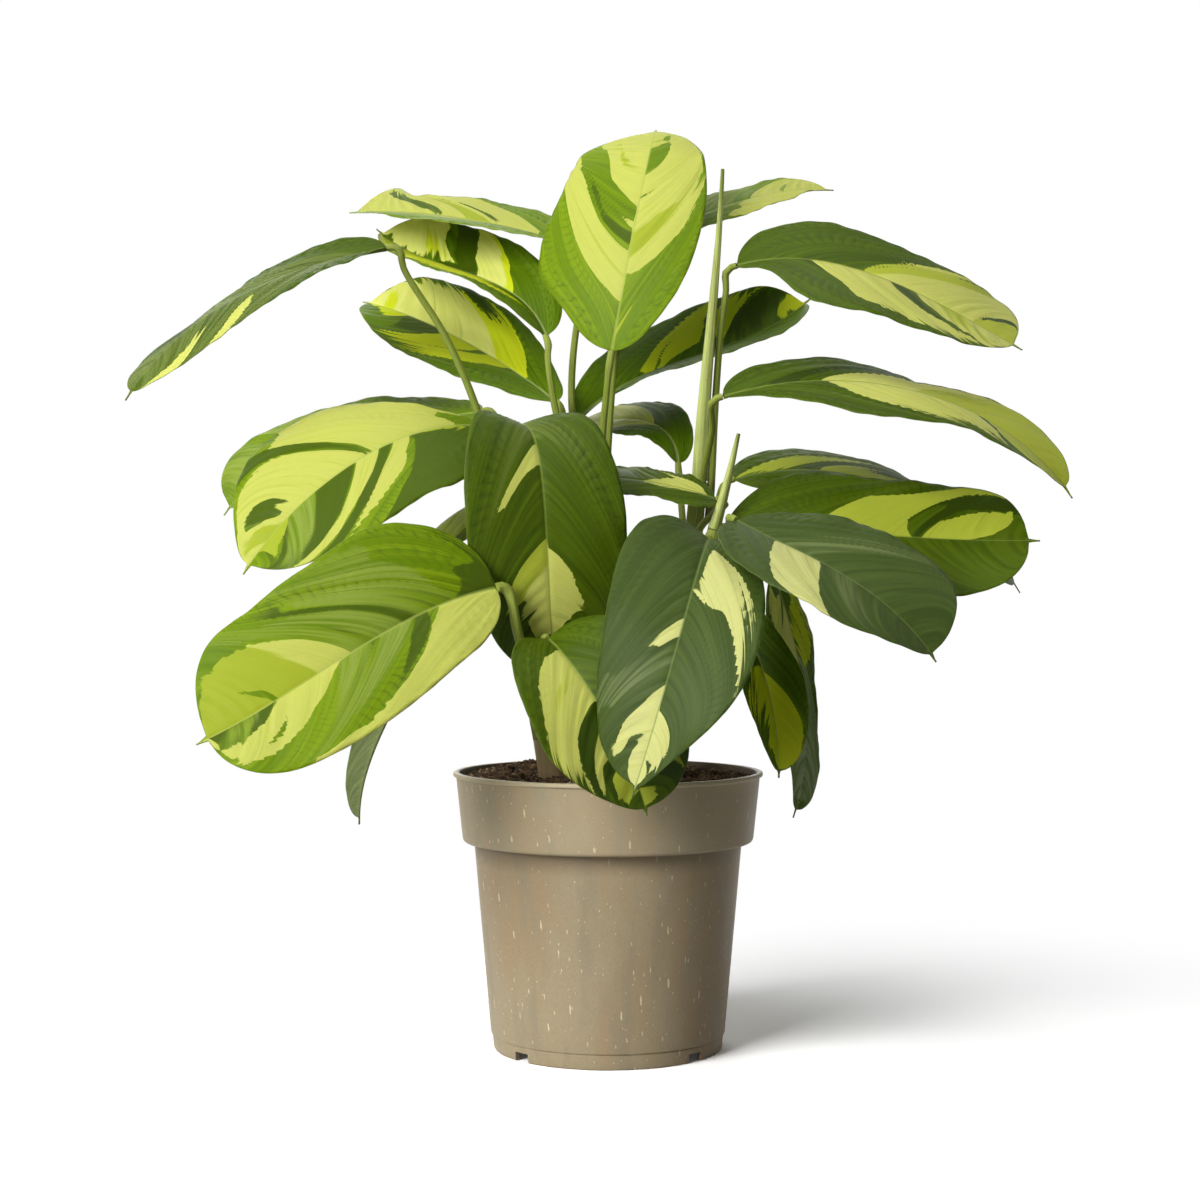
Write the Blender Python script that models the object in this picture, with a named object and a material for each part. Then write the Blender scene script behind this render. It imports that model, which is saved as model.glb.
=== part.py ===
"""A potted ctenanthe: variegated leaves on stalks, four canes, potting mix and a nursery pot.

The row frame has +Z up and its origin at the centre of the pot's foot. -Y is the front.
Tables are in millimetres and degrees; objects are made in metres.
"""

import math
from dataclasses import dataclass

import bmesh
import bpy
import numpy as np
from mathutils import Matrix, Vector

MM = 0.001
GAP = 0.3  # clearance between pieces that touch
MERGE = 0.01  # points closer than this are one
SHARP_ANGLE = 40.0  # edges sharper than this stay crisp
CURVE_SAMPLES = 201
LOOK_AHEAD = 0.01  # share of a curve to either side that gives its direction

# Pot, a 170 mm nursery container
POT_HEIGHT = 151.0
RIM_RADIUS = 85.0
LIP_HEIGHT = 2.4
LIP_PROUD = 1.6
COLLAR_HEIGHT = 38.0
COLLAR_FOOT_RADIUS = 79.6
COLLAR_ROUND = 2.5
ROUND_MIDDLE = 0.7  # how far the middle of the collar's rounded foot stands in from its corner
COLLAR_FILLET = 1.0  # where the body runs into the collar
EDGE_BREAK = 0.4
BODY_TOP_RADIUS = 73.4
BODY_FOOT_RADIUS = 64.2
SKIRT_HEIGHT = 8.0
SKIRT_RADIUS = 63.4
SKIRT_STEP = 0.8  # height of the small step above the skirt
FOOT_RADIUS = 62.6
FOOT_WIDTH = 2.4
WALL = 1.8
FLOOR_RAISE = 6.0
PAD_RADIUS = 38.0
PAD_SLOPE = 5.0
DRAIN_ANGLES = (-137.0, -43.0, 43.0, 137.0)
DRAIN_WIDTH = 10.0
DRAIN_HEIGHT = 5.0
DRAIN_HOLE_RADIUS = 4.0
DRAIN_HOLE_SIDES = 16
POT_STEPS = 48

# Potting mix
SOIL_DROP = 4.5  # below the rim, at the wall
SOIL_MOUND = 3.0  # rise at the middle
SOIL_INSET = 0.6  # how far its top edge stands in from the lip's foot
LUMP_HEIGHT = 0.9
LUMP_WIDTH = 9.0
LUMP_DEPTH = 7.5
LUMP_SHIFT = 1.3
SOIL_RINGS = 7
SOIL_STEPS = 40
ROOT_DEPTH = 26.0  # how deep a cane stands in the mix
BORE_LENGTH = 60.0
BORE_SIDES = 20

# Leaf blade
BLADE_THICKNESS = 1.0
BLADE_ROWS = 10
BLADE_COLUMNS = 4
BODY_END = 0.965  # share of the midrib where the round blade ends and the drip tip goes on
TIP_START = 0.88
TIP_SHARE = 0.11  # half width of the drip tip's root, as a share of the blade's half width
BASE_FULLNESS = 2.0
BASE_HALF_WIDTH = 1.4
TIP_HALF_WIDTH = 0.35
STATIONS = (0.1, 0.25, 0.4, 0.55, 0.7, 0.85, 0.95)  # shares of the midrib where Half.trim holds
TRIM_BLEND = (-0.06, -0.03, 0.0, 0.03, 0.06)  # trims are averaged over these shifts

# Canes and leaf stalks
CANE_SIDES = 16
CANE_RINGS = 12
STALK_SIDES = 8
STALK_STEP = 12.0
STALK_SWELL = 0.6  # how much thicker a stalk is at its foot
CLASP = 14.0  # length that a stalk runs beside its cane
NECK = 3.0  # length that a stalk runs straight into its blade
KNEE = 4.5  # length of the bend below the neck


@dataclass(frozen=True)
class Cane:
    """An upright shoot of clasped leaf bases: its route, foot to top, and its radius at both ends."""

    name: str
    route: tuple
    foot_radius: float
    top_radius: float


@dataclass(frozen=True)
class Half:
    """Half of a blade, on one side of its midrib. rise: how far it stands above level, at
    places evenly spaced from the leaf's base to its tip. curl: how far its margin bends down. widest:
    share of the midrib where it is widest. fullness: how round it stays towards the tip. trim: this
    leaf's own width at each station along the midrib, as a share of the plain outline's."""

    width: float
    rise: tuple
    curl: float = 10.0
    widest: float = 0.48
    fullness: float = 2.5
    trim: tuple = (1, 1, 1, 1, 1, 1, 1)


@dataclass(frozen=True)
class Stalk:
    """A leaf's stalk: its cane, the height and the side where it leaves it, and points on its way."""

    cane: str
    height: float
    side: float
    via: tuple = ()
    radius: float = 1.7


@dataclass(frozen=True)
class Leaf:
    """One leaf: midrib points from base to tip, its two halves as seen along the midrib, its stalk,
    and the compass heading of its midrib where that isn't the way from base to tip."""

    name: str
    rib: tuple
    left: Half
    right: Half
    stalk: Stalk
    heading: float | None = None


CANES = (
    Cane("cane_left", ((-27, -26, 124), (-30, -26, 150), (-38, -26, 196), (-46, -24, 250), (-52, -16, 310)),
         8.0, 4.0),
    Cane("cane_centre", ((-4, 12, 124), (-4, 12, 150), (-4, 14, 200), (-5, 14, 260), (-3, 8, 325)), 6.0, 3.6),
    Cane("cane_right", ((34, 12, 124), (34, 12, 150), (39, 8, 200), (45, 3, 255), (50, 0, 310)), 6.5, 4.6),
    Cane("cane_front", ((30, -30, 124), (31, -31, 150), (38, -34, 190), (47, -38, 235), (56, -42, 282)),
         6.0, 3.4),
)

SPEARS = (
    Cane("rolled_leaf_tall", ((50, 0, 310.6), (54, -1, 370), (59, -1, 425), (63, 0, 482)), 4.4, 1.0),
    Cane("rolled_leaf_short", ((56, -42, 282.6), (61, -43, 300), (65, -43, 316), (69, -42, 333)), 3.2, 1.0),
)

LEAVES = (
    Leaf("top_centre", ((2, -10, 381), (12, -2, 437), (22, 22, 489), (28, 60, 517)),
         Half(58, (0, 0), 15, 0.42, trim=(0.73, 1.05, 1, 0.95, 0.93, 1.08, 1.7)),
         Half(39, (5, -10), 15, 0.46, trim=(0.87, 0.95, 0.96, 0.97, 0.93, 0.94, 0.85)),
         Stalk("cane_centre", 175, -60, ((-3, -2, 332), (-1, -6, 356)))),
    Leaf("upper_left", ((-12, 44, 445), (-51, 63, 460), (-104, 85, 473), (-155, 106, 478)),
         Half(34, (-3, -10)),
         Half(33, (26, 38), widest=0.68, fullness=4, trim=(1.2, 1.25, 1.18, 1.08, 0.98, 0.72, 2.1)),
         Stalk("cane_centre", 168, 142, ((-20, 18, 352), (-17, 26, 402)))),
    Leaf("upper_left_broad", ((-35, 20, 393), (-57, 45, 422), (-98, 75, 442), (-138, 100, 467)),
         Half(38, (5, 5), widest=0.58, trim=(1, 1, 1, 1, 0.95, 0.75, 0.5)),
         Half(35, (50, 50), widest=0.6, trim=(0.85, 0.9, 0.93, 1, 1, 1.02, 1.4)),
         Stalk("cane_centre", 150, 240, ((-29, -2, 350), (-33, 1, 376)))),
    Leaf("mid_left_upper", ((-29, 10, 355), (-48, 30, 371), (-88, 55, 397), (-145, 90, 422)),
         Half(39, (-15, -15), trim=(0.8, 0.93, 1, 1.05, 1.05, 0.9, 0.85)),
         Half(39, (36, 45), widest=0.66, fullness=3, trim=(0.65, 0.8, 0.98, 1, 1, 1.05, 1.12)),
         Stalk("cane_centre", 130, 185)),
    Leaf("far_left", ((-120, -20, 435), (-162, -30, 423), (-207, -45, 399), (-252, -60, 349)),
         Half(33, (-3, -32), trim=(1, 1, 1, 1, 1, 0.85, 0.7)), Half(33, (46, 20, 6, 24)),
         Stalk("cane_left", 180, 175, ((-73, -15, 353), (-89, -15, 389), (-111, -16, 425)))),
    Leaf("left_middle", ((-66, -28, 338), (-109, -60, 329), (-148, -76, 303), (-185, -92, 258)),
         Half(44, (-35, -35), fullness=3, trim=(1, 1.17, 1, 1, 0.97, 0.93, 1)),
         Half(42, (40, 44), 20, 0.58, 3, trim=(0.45, 1.05, 1.35, 1.38, 1.35, 0.85, 0.5)),
         Stalk("cane_left", 165, -120)),
    Leaf("left_back", ((-70, 12, 350), (-118, 28, 345), (-172, 45, 332), (-222, 58, 294)),
         Half(36, (-30, -30)),
         Half(38, (30, 58), widest=0.68, fullness=5, trim=(1, 1, 1, 0.92, 0.93, 1.15, 1.3)),
         Stalk("cane_left", 170, 110)),
    Leaf("centre_dark", ((-48, -35, 338), (-38, -66, 327), (-31, -77, 262), (-26, -55, 202)),
         Half(44, (22, -5), 15, 0.4, trim=(0.95, 0.87, 0.93, 0.97, 1, 1, 1)), Half(42, (25, 0), 15, 0.4),
         Stalk("cane_left", 155, -60), heading=-80),
    Leaf("front_left", ((-57, -91, 251), (-103, -119, 233), (-152, -141, 202), (-197, -152, 176)),
         Half(41, (-50, -50), widest=0.58, fullness=3, trim=(1.1, 1, 1, 1.02, 1, 1, 1)),
         Half(53, (76, 60), widest=0.3, fullness=4, trim=(0.93, 1, 0.95, 0.93, 0.93, 1.08, 1.15)),
         Stalk("cane_left", 62, -110, ((-35, -58, 190), (-39, -76, 205), (-46, -89, 228)), 2.4)),
    Leaf("front_centre", ((-31, -86, 225), (-18, -106, 212), (1, -117, 183), (19, -113, 138)),
         Half(36, (48, 5), widest=0.5, fullness=3.5, trim=(1.2, 1.1, 1, 1, 1, 0.93, 0.9)),
         Half(36, (10, 0), widest=0.5, trim=(1.16, 1.13, 1.06, 1.05, 0.93, 0.77, 0.6)),
         Stalk("cane_left", 48, -50, ((-24, -50, 192), (-29, -74, 212))), heading=-70),
    Leaf("front_dark", ((52, -60, 277), (44, -105, 258), (28, -132, 205), (11, -135, 149)),
         Half(42, (-10, 5), 15, 0.45, 2, trim=(0.46, 0.8, 0.94, 1, 0.98, 0.64, 0.4)),
         Half(41, (44, 0), 15, 0.42, trim=(1.18, 1.05, 0.98, 0.95, 0.99, 1, 1.1)),
         Stalk("cane_front", 118, -85)),
    Leaf("front_right", ((66, -72, 286), (96, -105, 269), (132, -130, 245), (158, -140, 215)),
         Half(38, (30, 30), widest=0.6, fullness=3, trim=(1.25, 1.3, 1.3, 1.25, 1.28, 1.28, 0.95)),
         Half(38, (-12, -12), trim=(1, 1.1, 1.08, 1.05, 1.05, 0.78, 0.5)),
         Stalk("cane_front", 150, -40, ((63, -50, 283),))),
    Leaf("right_middle", ((62, -36, 284), (112, -54, 281), (172, -58, 277), (225, -60, 276)),
         Half(42, (52, 52), fullness=3, trim=(1.4, 1.2, 1.05, 1, 1, 1.15, 1.5)),
         Half(42, (-43, -43), widest=0.55, fullness=3),
         Stalk("cane_right", 120, -85, ((49, -20, 268),))),
    Leaf("right_behind", ((69, -10, 311), (122, 0, 316), (184, 10, 295), (231, 20, 249)),
         Half(38, (28, 28), widest=0.42, trim=(1.05, 1, 0.93, 1, 1, 1, 1)), Half(38, (-30, -30)),
         Stalk("cane_right", 140, -30)),
    Leaf("right_upper", ((61, -40, 353), (114, -45, 361), (186, -52, 346), (242, -60, 298)),
         Half(36, (50, 18, 48), fullness=3, trim=(0.95, 1, 1, 0.95, 0.92, 0.98, 0.75)),
         Half(36, (-32, -12), trim=(0.4, 0.95, 1.2, 1.05, 0.85, 0.85, 1)),
         Stalk("cane_right", 165, -75, ((52, -12, 314), (56, -26, 338)))),
    Leaf("right_top", ((71, 0, 429), (106, -10, 431), (158, -20, 415), (222, -30, 379)),
         Half(42, (56, 30), widest=0.42, fullness=4, trim=(1, 0.9, 0.82, 0.9, 1.05, 1.36, 1.7)),
         Half(38, (-30, -22), trim=(0.5, 1.35, 1.35, 1.12, 1.12, 1.12, 1.1)),
         Stalk("cane_right", 180, 10, ((59, 3, 352), (62, 3, 392), (65, 2, 416)))),
    Leaf("back_right_top", ((18, 20, 443), (60, 46, 468), (98, 68, 482), (134, 88, 488)),
         Half(27, (24, 23, 24, 36), trim=(1.1, 1.15, 1.1, 1.0, 1.0, 1.1, 1.5)),
         Half(21, (-15, -14), trim=(1, 1, 1.05, 1, 0.9, 0.5, 0.3)),
         Stalk("cane_centre", 185, 60, ((4, 14, 380),))),
    Leaf("back_right_mid", ((-16, 30, 348), (17, 45, 372), (62, 62, 390), (120, 80, 423)),
         Half(38, (38, 58), widest=0.6, trim=(0.95, 1, 1, 1, 1, 1, 1.3)),
         Half(38, (5, -4), trim=(0.8, 1, 1, 1, 1, 1, 1)), Stalk("cane_centre", 135, 100)),
    Leaf("back_centre", ((40, 40, 323), (32, 52, 343), (10, 70, 351), (-26, 92, 345)),
         Half(30, (-25, -20), trim=(0.45, 0.56, 0.69, 0.76, 0.8, 0.8, 0.8)),
         Half(27, (32, 32), trim=(0.62, 0.8, 0.97, 0.95, 1, 1, 1)), Stalk("cane_right", 130, 100)),
    Leaf("centre_small", ((57, -37, 299), (32, -40, 306), (8, -32, 310), (-20, -18, 313)),
         Half(25, (-25, -25), trim=(1, 0.75, 0.68, 0.7, 0.8, 0.8, 0.8)),
         Half(25, (30, 20), trim=(1, 0.8, 0.83, 0.88, 1.1, 1, 1)),
         Stalk("cane_right", 142, -110, ((50, -16, 284), (60, -29, 294)))),
    Leaf("right_low", ((64, -25, 245), (78, -45, 218), (86, -55, 188), (89, -58, 152)),
         Half(21, (30, 30), trim=(0.8, 0.72, 0.82, 1, 1, 1, 1)),
         Half(16, (30, 30), trim=(1, 1, 1, 1, 0.85, 0.7, 0.6)), Stalk("cane_right", 85, -25), heading=-90),
    Leaf("right_low_back", ((94, 28, 259), (106, 24, 216), (111, 18, 171), (103, 10, 124)),
         Half(14, (5, 5), trim=(1.6, 1.5, 0.9, 0.6, 0.8, 1.4, 1.4)),
         Half(26, (5, 5), trim=(1, 1, 1, 1, 0.9, 0.55, 0.5)), Stalk("cane_right", 85, 40), heading=-45),
    Leaf("left_low_back", ((-110, 55, 215), (-130, 66, 172), (-142, 74, 142), (-146, 78, 113)),
         Half(14, (80, 80)), Half(20, (60, 60)),
         Stalk("cane_left", 128, 128, ((-76, 4, 262), (-98, 36, 246)))),
    Leaf("left_inner_back", ((-60, 45, 306), (-84, 58, 298), (-102, 68, 285), (-120, 78, 262)),
         Half(28, (-40, -40)), Half(28, (-10, -10)), Stalk("cane_left", 130, 90)),
    Leaf("back_low_left", ((-16, 48, 258), (-26, 85, 262), (-38, 120, 246), (-48, 146, 212)),
         Half(34, (10, 0)), Half(34, (10, 0)), Stalk("cane_centre", 90, 110)),
    Leaf("back_low_right", ((38, 44, 250), (50, 78, 252), (62, 112, 234), (70, 134, 200)),
         Half(32, (10, 0)), Half(32, (10, 0)), Stalk("cane_right", 100, 90)),
)


# ---------------------------------------------------------------- curves and leaf surface


def unit(vectors):
    """Vectors, or one vector, scaled to length 1."""
    return vectors / np.linalg.norm(vectors, axis=-1, keepdims=True)


def smooth_curve(points, shares):
    """Places along the curve through the points, at shares of its length from 0 to 1, and its length.
    The curve is the polynomial through all of them, spaced by the distance between neighbours."""
    pts = np.array(points, float)
    knots = np.concatenate([[0], np.cumsum(np.linalg.norm(np.diff(pts, axis=0), axis=1))])
    knots /= knots[-1]
    fine = np.linspace(0, 1, CURVE_SAMPLES)
    dense = np.zeros((len(fine), 3))
    for i, point in enumerate(pts):
        others = [k for j, k in enumerate(knots) if j != i]
        dense += np.prod([(fine - k) / (knots[i] - k) for k in others], axis=0)[:, None] * point
    run = np.concatenate([[0], np.cumsum(np.linalg.norm(np.diff(dense, axis=0), axis=1))])
    at = np.asarray(shares, float) * run[-1]
    return np.stack([np.interp(at, run, dense[:, i]) for i in range(3)], axis=1), run[-1]


def half_width(half, t):
    """The half blade's width at shares t of the midrib, in mm."""
    towards_base = np.clip(1 - t / half.widest, 0, 1)
    towards_tip = np.clip((t - half.widest) / (BODY_END - half.widest), 0, 1)
    base_side = np.sqrt(1 - towards_base**BASE_FULLNESS)
    tip_side = np.sqrt(1 - towards_tip**half.fullness)
    drip_tip = TIP_SHARE * np.clip((1 - t) / (1 - TIP_START), 0, 1)
    trim = np.mean([np.interp(t + shift, STATIONS, half.trim) for shift in TRIM_BLEND], axis=0)
    share = np.where(t < half.widest, base_side * trim, np.maximum(tip_side * trim, drip_tip))
    return np.maximum(share * half.width, np.where(t < 0.5, BASE_HALF_WIDTH, TIP_HALF_WIDTH))


def rib_frame(leaf, t):
    """Midrib places, tangents, level right-hand directions and upward normals at shares t."""
    place, _ = smooth_curve(leaf.rib, t)
    ahead, _ = smooth_curve(leaf.rib, np.clip(t + LOOK_AHEAD, 0, 1))
    behind, _ = smooth_curve(leaf.rib, np.clip(t - LOOK_AHEAD, 0, 1))
    tangent = unit(ahead - behind)
    run = np.subtract(leaf.rib[-1], leaf.rib[0])
    heading = math.atan2(run[1], run[0]) if leaf.heading is None else math.radians(leaf.heading)
    level = np.array([math.sin(heading), -math.cos(heading), 0.0])
    right = unit(level - (tangent @ level)[:, None] * tangent)
    return place, tangent, right, np.cross(right, tangent)


def blade_surface(leaf, t, v):
    """Places on the blade's middle surface, in mm, for every share t along the rib and v across it,
    from -1 at the left margin to 1 at the right. Each half leaves the rib at its rise and bends down
    by its curl on its way to the margin."""
    place, _, right, normal = rib_frame(leaf, t)
    surface = np.empty((len(t), len(v), 3))
    for column, across in enumerate(v):
        half = leaf.right if across >= 0 else leaf.left
        rise = np.radians(np.interp(t, np.linspace(0, 1, len(half.rise)), half.rise))
        bend = math.radians(half.curl) / half.width
        run = abs(across) * half_width(half, t)
        out = (np.sin(rise) - np.sin(rise - bend * run)) / bend
        up = (np.cos(rise - bend * run) - np.cos(rise)) / bend
        side = math.copysign(1, across)
        surface[:, column] = place + side * out[:, None] * right + up[:, None] * normal
    return surface


def spline(points, step):
    """Places every step or so along the curve that runs smoothly through the points (Catmull-Rom)."""
    pts = np.array(points, float)
    pts = np.vstack([2 * pts[0] - pts[1], pts, 2 * pts[-1] - pts[-2]])
    places = []
    for before, start, end, after in zip(pts, pts[1:], pts[2:], pts[3:]):
        count = max(1, round(np.linalg.norm(end - start) / step))
        gaps = [math.sqrt(np.linalg.norm(b - a)) for a, b in ((before, start), (start, end), (end, after))]
        leave = ((start - before) / gaps[0] - (end - before) / (gaps[0] + gaps[1])
                 + (end - start) / gaps[1]) * gaps[1]
        arrive = ((end - start) / gaps[1] - (after - start) / (gaps[1] + gaps[2])
                  + (after - end) / gaps[2]) * gaps[1]
        for u in np.linspace(0, 1, count, endpoint=False):
            places.append(start * (2 * u**3 - 3 * u**2 + 1) + leave * (u**3 - 2 * u**2 + u)
                          + end * (3 * u**2 - 2 * u**3) + arrive * (u**3 - u**2))
    return np.array(places + [pts[-2]])


def cane_at(cane, height):
    """A cane's place, direction and radius at a height in mm along it from its foot."""
    share = height / smooth_curve(cane.route, (0,))[1]
    nearby = np.clip((share - LOOK_AHEAD, share, share + LOOK_AHEAD), 0, 1)
    (below, place, above), _ = smooth_curve(cane.route, nearby)
    radius = cane.foot_radius + (cane.top_radius - cane.foot_radius) * share
    return place, unit(above - below), radius


def stalk_points(leaf):
    """The points that a leaf's stalk runs through: beside its cane, on its way, round its knee, and
    into its blade."""
    cane = next(c for c in CANES if c.name == leaf.stalk.cane)
    angle = math.radians(leaf.stalk.side)
    out = np.array([math.cos(angle), math.sin(angle), 0.0])
    points = []
    for height in (leaf.stalk.height - CLASP, leaf.stalk.height):
        place, along, radius = cane_at(cane, height)
        away = unit(out - (out @ along) * along)
        points.append(place + away * (radius + leaf.stalk.radius + STALK_SWELL + GAP))
    points.extend(np.array(leaf.stalk.via, float).reshape(-1, 3))
    base, along, _, _ = rib_frame(leaf, np.array([0.0]))
    end = base[0] - along[0] * GAP
    neck = end - along[0] * NECK
    knee = neck - unit(along[0] + unit(neck - points[-1])) * KNEE
    return [*points, knee, neck, end]


# ---------------------------------------------------------------- materials


def material(name, colour, roughness):
    """A plain Principled material."""
    made = bpy.data.materials.new(name)
    made.use_nodes = True
    shader = made.node_tree.nodes["Principled BSDF"]
    shader.inputs["Base Color"].default_value = (*colour, 1.0)
    shader.inputs["Roughness"].default_value = roughness
    shader.inputs["Metallic"].default_value = 0.0
    return made


def make_materials():
    """The materials by the piece's kind."""
    return {
        "leaf": material("leaf", (0.16, 0.30, 0.04), 0.38),
        "stalk": material("stalk", (0.30, 0.38, 0.10), 0.5),
        "cane": material("cane", (0.33, 0.24, 0.13), 0.6),
        "rolled_leaf": material("rolled_leaf", (0.33, 0.42, 0.10), 0.45),
        "pot": material("pot", (0.32, 0.26, 0.20), 0.42),
        "potting_mix": material("potting_mix", (0.035, 0.022, 0.014), 0.95),
    }


# ---------------------------------------------------------------- building


def put(name, data, mat):
    """An object with its material, in the scene."""
    made = bpy.data.objects.new(name, data)
    bpy.context.scene.collection.objects.link(made)
    data.materials.append(mat)
    return made


def mesh_from(bm, name):
    """A smooth-shaded mesh from a bmesh with its faces turned out."""
    bmesh.ops.recalc_face_normals(bm, faces=bm.faces)
    mesh = bpy.data.meshes.new(name)
    bm.to_mesh(mesh)
    bm.free()
    mesh.shade_smooth()
    mesh.set_sharp_from_angle(angle=math.radians(SHARP_ANGLE))
    return mesh


def turned(profile, steps):
    """A solid of revolution about Z. The profile's (radius, height) points start and end on the axis."""
    bm = bmesh.new()
    points = [bm.verts.new((radius * MM, 0, height * MM)) for radius, height in profile]
    edges = [bm.edges.new(pair) for pair in zip(points, points[1:])]
    bmesh.ops.spin(bm, geom=points + edges, cent=(0, 0, 0), axis=(0, 0, 1), angle=math.tau,
                   steps=steps, use_merge=True)
    bmesh.ops.remove_doubles(bm, verts=bm.verts, dist=MERGE * MM)
    return bm


def rod(name, places, radii, sides, mat):
    """A tapering rod along places in mm, with capped ends."""
    curve = bpy.data.curves.new(name, "CURVE")
    curve.dimensions = "3D"
    curve.bevel_depth = MM
    curve.bevel_resolution = (sides - 4) // 2
    curve.use_fill_caps = True
    curve.render_resolution_u = 0
    path = curve.splines.new("POLY")
    path.points.add(len(places) - 1)
    for point, place, radius in zip(path.points, places, radii):
        point.co = (*(place * MM), 1.0)
        point.radius = radius
    return put(name, curve, mat)


def cutter(name, bm):
    """A guide body that a Boolean takes away."""
    made = bpy.data.objects.new(name, mesh_from(bm, name))
    bpy.context.scene.collection.objects.link(made)
    made.hide_render = True
    made.display_type = "WIRE"
    return made


def cut(target, tool):
    """Takes the tool's body out of the target."""
    boolean = target.modifiers.new(tool.name, "BOOLEAN")
    boolean.operation = "DIFFERENCE"
    boolean.solver = "EXACT"
    boolean.object = tool


def turn(degrees):
    """The rotation about Z by an angle in degrees."""
    return Matrix.Rotation(math.radians(degrees), 3, "Z")


def place_on_circle(radius, degrees, height):
    """A point in metres at a radius and compass angle."""
    angle = math.radians(degrees)
    return radius * math.cos(angle) * MM, radius * math.sin(angle) * MM, height * MM


def pot_outline():
    """The pot's (radius, height) outline: underside, outer wall, rim, inner wall and floor."""
    collar_foot = POT_HEIGHT - COLLAR_HEIGHT
    lip_foot = POT_HEIGHT - LIP_HEIGHT
    collar_top_radius = RIM_RADIUS - LIP_PROUD
    ring_inside = FOOT_RADIUS - FOOT_WIDTH
    floor_top = FLOOR_RAISE + WALL
    return [
        (0, 0), (PAD_RADIUS, 0), (PAD_RADIUS + PAD_SLOPE, FLOOR_RAISE), (ring_inside, FLOOR_RAISE),
        (ring_inside, 0), (FOOT_RADIUS, 0), (SKIRT_RADIUS, SKIRT_HEIGHT),
        (BODY_FOOT_RADIUS, SKIRT_HEIGHT + SKIRT_STEP),
        (BODY_TOP_RADIUS, collar_foot - COLLAR_FILLET), (BODY_TOP_RADIUS + COLLAR_FILLET, collar_foot),
        (COLLAR_FOOT_RADIUS - COLLAR_ROUND, collar_foot),
        (COLLAR_FOOT_RADIUS - ROUND_MIDDLE, collar_foot + ROUND_MIDDLE),
        (COLLAR_FOOT_RADIUS, collar_foot + COLLAR_ROUND),
        (collar_top_radius, lip_foot), (RIM_RADIUS, lip_foot + EDGE_BREAK),
        (RIM_RADIUS, POT_HEIGHT - EDGE_BREAK), (RIM_RADIUS - EDGE_BREAK, POT_HEIGHT),
        (collar_top_radius - WALL, POT_HEIGHT),
        *inner_outline(0), (PAD_RADIUS, floor_top), (PAD_RADIUS - PAD_SLOPE, WALL), (0, WALL),
    ]


def inner_outline(clearance):
    """The wall's inner (radius, height) points from the lip's foot to the raised floor, moved inward."""
    collar_foot = POT_HEIGHT - COLLAR_HEIGHT
    inset = WALL + clearance
    return [
        (RIM_RADIUS - LIP_PROUD - inset, POT_HEIGHT - LIP_HEIGHT),
        (COLLAR_FOOT_RADIUS - inset, collar_foot + COLLAR_ROUND + clearance),
        (BODY_TOP_RADIUS - inset, collar_foot + clearance),
        (BODY_FOOT_RADIUS - inset, FLOOR_RAISE + WALL + clearance),
    ]


def make_pot(mats):
    """The pot, with its drain notches in the foot ring and drain holes in the raised floor."""
    pot = put("pot", mesh_from(turned(pot_outline(), POT_STEPS), "pot"), mats["pot"])
    bm = bmesh.new()
    hole_circle = (PAD_RADIUS + PAD_SLOPE + FOOT_RADIUS - FOOT_WIDTH) / 2
    for angle in DRAIN_ANGLES:
        notch = bmesh.ops.create_cube(bm, size=MM)["verts"]
        bmesh.ops.scale(bm, vec=(FOOT_WIDTH * 3, DRAIN_WIDTH, DRAIN_HEIGHT * 2), verts=notch)
        bmesh.ops.translate(bm, vec=((FOOT_RADIUS - FOOT_WIDTH / 2) * MM, 0, 0), verts=notch)
        bmesh.ops.rotate(bm, cent=(0, 0, 0), verts=notch, matrix=turn(angle))
        hole = bmesh.ops.create_cone(bm, segments=DRAIN_HOLE_SIDES, cap_ends=True,
                                     radius1=DRAIN_HOLE_RADIUS * MM, radius2=DRAIN_HOLE_RADIUS * MM,
                                     depth=4 * WALL * MM)["verts"]
        bmesh.ops.translate(bm, vec=place_on_circle(hole_circle, angle, FLOOR_RAISE + WALL / 2), verts=hole)
    cut(pot, cutter("drain_cutter", bm))


def soil_height(x, y):
    """The potting mix's top, in mm, at a place in mm: a low mound with soft lumps."""
    share = min(1.0, math.hypot(x, y) / RIM_RADIUS)
    lumps = math.sin(x / LUMP_WIDTH + LUMP_SHIFT) * math.sin(y / LUMP_DEPTH - LUMP_SHIFT)
    return POT_HEIGHT - SOIL_DROP + SOIL_MOUND * (1 - share**2) + LUMP_HEIGHT * lumps * (1 - share**4)


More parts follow.
